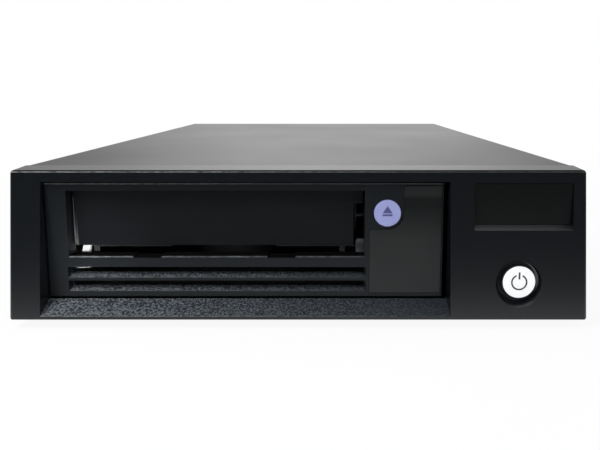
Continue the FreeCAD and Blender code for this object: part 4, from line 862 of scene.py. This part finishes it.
def screw(centre, turn, radius, height):
    """A hexagon head with a cross recess, at a centre on its outer face and facing along turn's Z."""
    mesh = bmesh.new()
    rim = bmesh.ops.create_circle(mesh, segments=6, radius=radius, cap_ends=False)["verts"]
    arm, wide, deep = radius * 0.50, radius * 0.13, radius * 0.42
    taper, chamfer = 0.72, radius * 0.12
    cross = [(arm, -wide), (arm, wide), (wide, wide), (wide, arm), (-wide, arm), (-wide, wide),
             (-arm, wide), (-arm, -wide), (-wide, -wide), (-wide, -arm), (wide, -arm), (wide, -wide)]
    inner = [mesh.verts.new((x, y, 0)) for x, y in cross]
    inner_edges = [mesh.edges.new((a, b)) for a, b in zip(inner, inner[1:] + inner[:1])]
    rim_edges = [e for e in mesh.edges if e not in inner_edges]
    bmesh.ops.bridge_loops(mesh, edges=rim_edges + inner_edges)
    walls = bmesh.ops.extrude_edge_only(mesh, edges=inner_edges)["geom"]
    bmesh.ops.scale(mesh, verts=verts_of(walls), vec=(taper, taper, 1))
    bmesh.ops.translate(mesh, verts=verts_of(walls), vec=(0, 0, -deep))
    bmesh.ops.contextual_create(mesh, geom=edges_of(walls))
    sides = bmesh.ops.extrude_edge_only(mesh, edges=rim_edges)["geom"]
    bmesh.ops.translate(mesh, verts=verts_of(sides), vec=(0, 0, -height))
    bmesh.ops.contextual_create(mesh, geom=edges_of(sides))
    bmesh.ops.bevel(mesh, geom=rim_edges, offset=chamfer, segments=CREST, profile=0.5,
                    affect="EDGES", clamp_overlap=True, material=-1)
    bmesh.ops.recalc_face_normals(mesh, faces=mesh.faces)
    bmesh.ops.transform(mesh, verts=mesh.verts, matrix=Matrix.Translation(centre) @ turn.to_4x4())
    return mesh


def make_screws(finishes):
    """Hexagon-headed screws: three on the cover's lip, four on the fan, four under the drive."""
    radius = 3.0 * MM
    flat = radius * math.cos(math.radians(30))  # from a head's middle to one of its flats
    rearward = Matrix.Rotation(math.radians(-90), 3, "X")
    downward = Matrix.Rotation(math.radians(180), 3, "X")

    def fit(name, node, xs, ys, zs, turn, height):
        group = bmesh.new()
        for x in xs:
            for y in ys:
                for z in zs:
                    join(group, screw(Vector((x, y, z)), turn, radius, height))
        finish_piece(name, group, "enclosure", [finishes["screw_steel"]], [node])

    low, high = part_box("cover_screws")
    middle = (low + high) / 2
    fit("cover_lip_screws", "cover_screws", (low.x + radius, middle.x, high.x - radius),
        (high.y,), (middle.z,), rearward, high.y - low.y)
    low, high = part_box("fan_screws")
    fit("fan_wall_screws", "fan_screws", (low.x + radius, high.x - radius),
        (high.y,), (low.z + flat, high.z - flat), rearward, high.y - low.y)
    low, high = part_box("drive_screws")
    fit("drive_floor_screws", "drive_screws", (low.x + radius, high.x - radius),
        (low.y + flat, high.y - flat), (low.z,), downward, high.z - low.z)


def dress_other_nodes(finishes):
    """Every node that keeps its own solid takes its slot's finish."""
    for row in RECORD["subparts"]:
        node = NODES[row["node"]]
        if node.hide_render:
            continue
        for place in node.material_slots:
            place.link = "OBJECT"
            place.material = finishes[row["material_slot"]]


# ---------------------------------------------------------------- studio
def make_floor():
    """A pale floor that shows the background's white and keeps a soft shadow; in reflections it glows as
    painted light, brightest beside the case.
    """
    mesh = bmesh.new()
    bmesh.ops.create_grid(mesh, x_segments=1, y_segments=1, size=6)
    data = bpy.data.meshes.new("studio_floor")
    mesh.to_mesh(data)
    mesh.free()
    floor = bpy.data.objects.new("studio_floor", data)
    bpy.context.collection.objects.link(floor)
    pale = Finish("floor_paper")
    fibre = pale.noise(1.5, 3, 0.6)
    glow = 0.07 + 0.93 * pale.nearness(GLOW_REACH, 2.2)
    whiteness = 1 - 0.08 * pale.nearness(SHADOW_REACH, 2)
    paper = pale.node("ShaderNodeBsdfDiffuse", None,
                      {"Color": pale.blend(fibre, (0.80, 0.80, 0.80), (0.84, 0.84, 0.84))})
    white = pale.node("ShaderNodeEmission", None, {"Color": (1, 1, 1, 1), "Strength": 1.0})
    # painted light: the floor's glow in reflections, brightest beside the case
    reflected_glow = pale.node("ShaderNodeEmission", None, {"Color": (0.93, 0.97, 1, 1), "Strength": glow})
    lit = pale.choose(pale.ray("Glossy"), paper, reflected_glow)
    pale.end(pale.choose(pale.seen() * whiteness, lit, white))
    data.materials.append(pale.material)


def make_world():
    """White to the camera. Reflections see it behind the object, and a dim room in front."""
    world = bpy.data.worlds.new("studio")
    bpy.context.scene.world = world
    world.use_nodes = True
    air = Finish("studio", world.node_tree)
    heading = air.node("ShaderNodeTexCoord", output="Generated")
    stops = [(place, (tone, tone, tone)) for place, tone in ROOM_TONES]
    behind = air.node("ShaderNodeValToRGB", {"stops": stops},
                      {"Fac": air.part(heading, "Y") * 0.5 + 0.5})
    low_wall = 0.05 + 1.2 / (1 + (air.part(heading, "Z") / WALL_HEIGHT) ** 12)
    plain = air.node("ShaderNodeBackground", None, {"Color": (0.93, 0.96, 1.0, 1), "Strength": 0.34})
    mirrored = air.node("ShaderNodeBackground", None, {"Color": behind, "Strength": low_wall})
    white = air.node("ShaderNodeBackground", None, {"Color": (1, 1, 1, 1), "Strength": 1.0})
    lit = air.choose(air.ray("Glossy"), plain, mirrored)
    air.end(air.choose(air.seen(), lit, white), "ShaderNodeOutputWorld")


def softbox(name, place, target, width, height, power, spread, mirrored):
    """A soft lamp aimed at a target; its spread in degrees narrows the beam."""
    lamp = bpy.data.lights.new(name, "AREA")
    lamp.shape = "RECTANGLE"
    lamp.size = width
    lamp.size_y = height
    lamp.energy = power
    lamp.spread = math.radians(spread)
    holder = bpy.data.objects.new(name, lamp)
    holder.location = place
    holder.rotation_euler = (Vector(target) - Vector(place)).to_track_quat("-Z", "Y").to_euler()
    holder.visible_glossy = mirrored
    bpy.context.collection.objects.link(holder)


def make_studio():
    """The floor, the world and the lamps."""
    make_floor()
    make_world()
    for lamp in LAMPS:
        softbox(*lamp)
    bpy.context.scene.view_settings.view_transform = "Standard"


def make_camera():
    """A camera square to the front, a hand's breadth above the top, looking a little down."""
    lens = bpy.data.cameras.new("camera")
    lens.sensor_width = SENSOR_WIDTH
    lens.lens = LENS_LENGTH
    lens.shift_x, lens.shift_y = LENS_SHIFT
    lens.clip_start = 0.01
    camera = bpy.data.objects.new("camera", lens)
    camera.location = CAMERA_PLACE
    camera.rotation_euler = (CAMERA_TILT, 0, 0)
    bpy.context.collection.objects.link(camera)
    bpy.context.scene.camera = camera


# ---------------------------------------------------------------- assembly
make_camera()
make_studio()
FINISHES = record_finishes()
make_front_bezel(FINISHES)
make_drive_bezel()
make_rounded_copies(FRONT_COPIES, FINISHES)
make_button("power_cap", "power_button", "power", "white_button", 6.0, 7.2, FINISHES,
            [FINISHES["component_black"]])
make_surround()
make_button("eject_cap", "eject_button", "eject", "blue_button", 5.05, 5.05, FINISHES)
make_signs()
make_feet(FINISHES)
make_screws(FINISHES)
make_rounded_copies(REAR_COPIES, FINISHES)
dress_other_nodes(FINISHES)
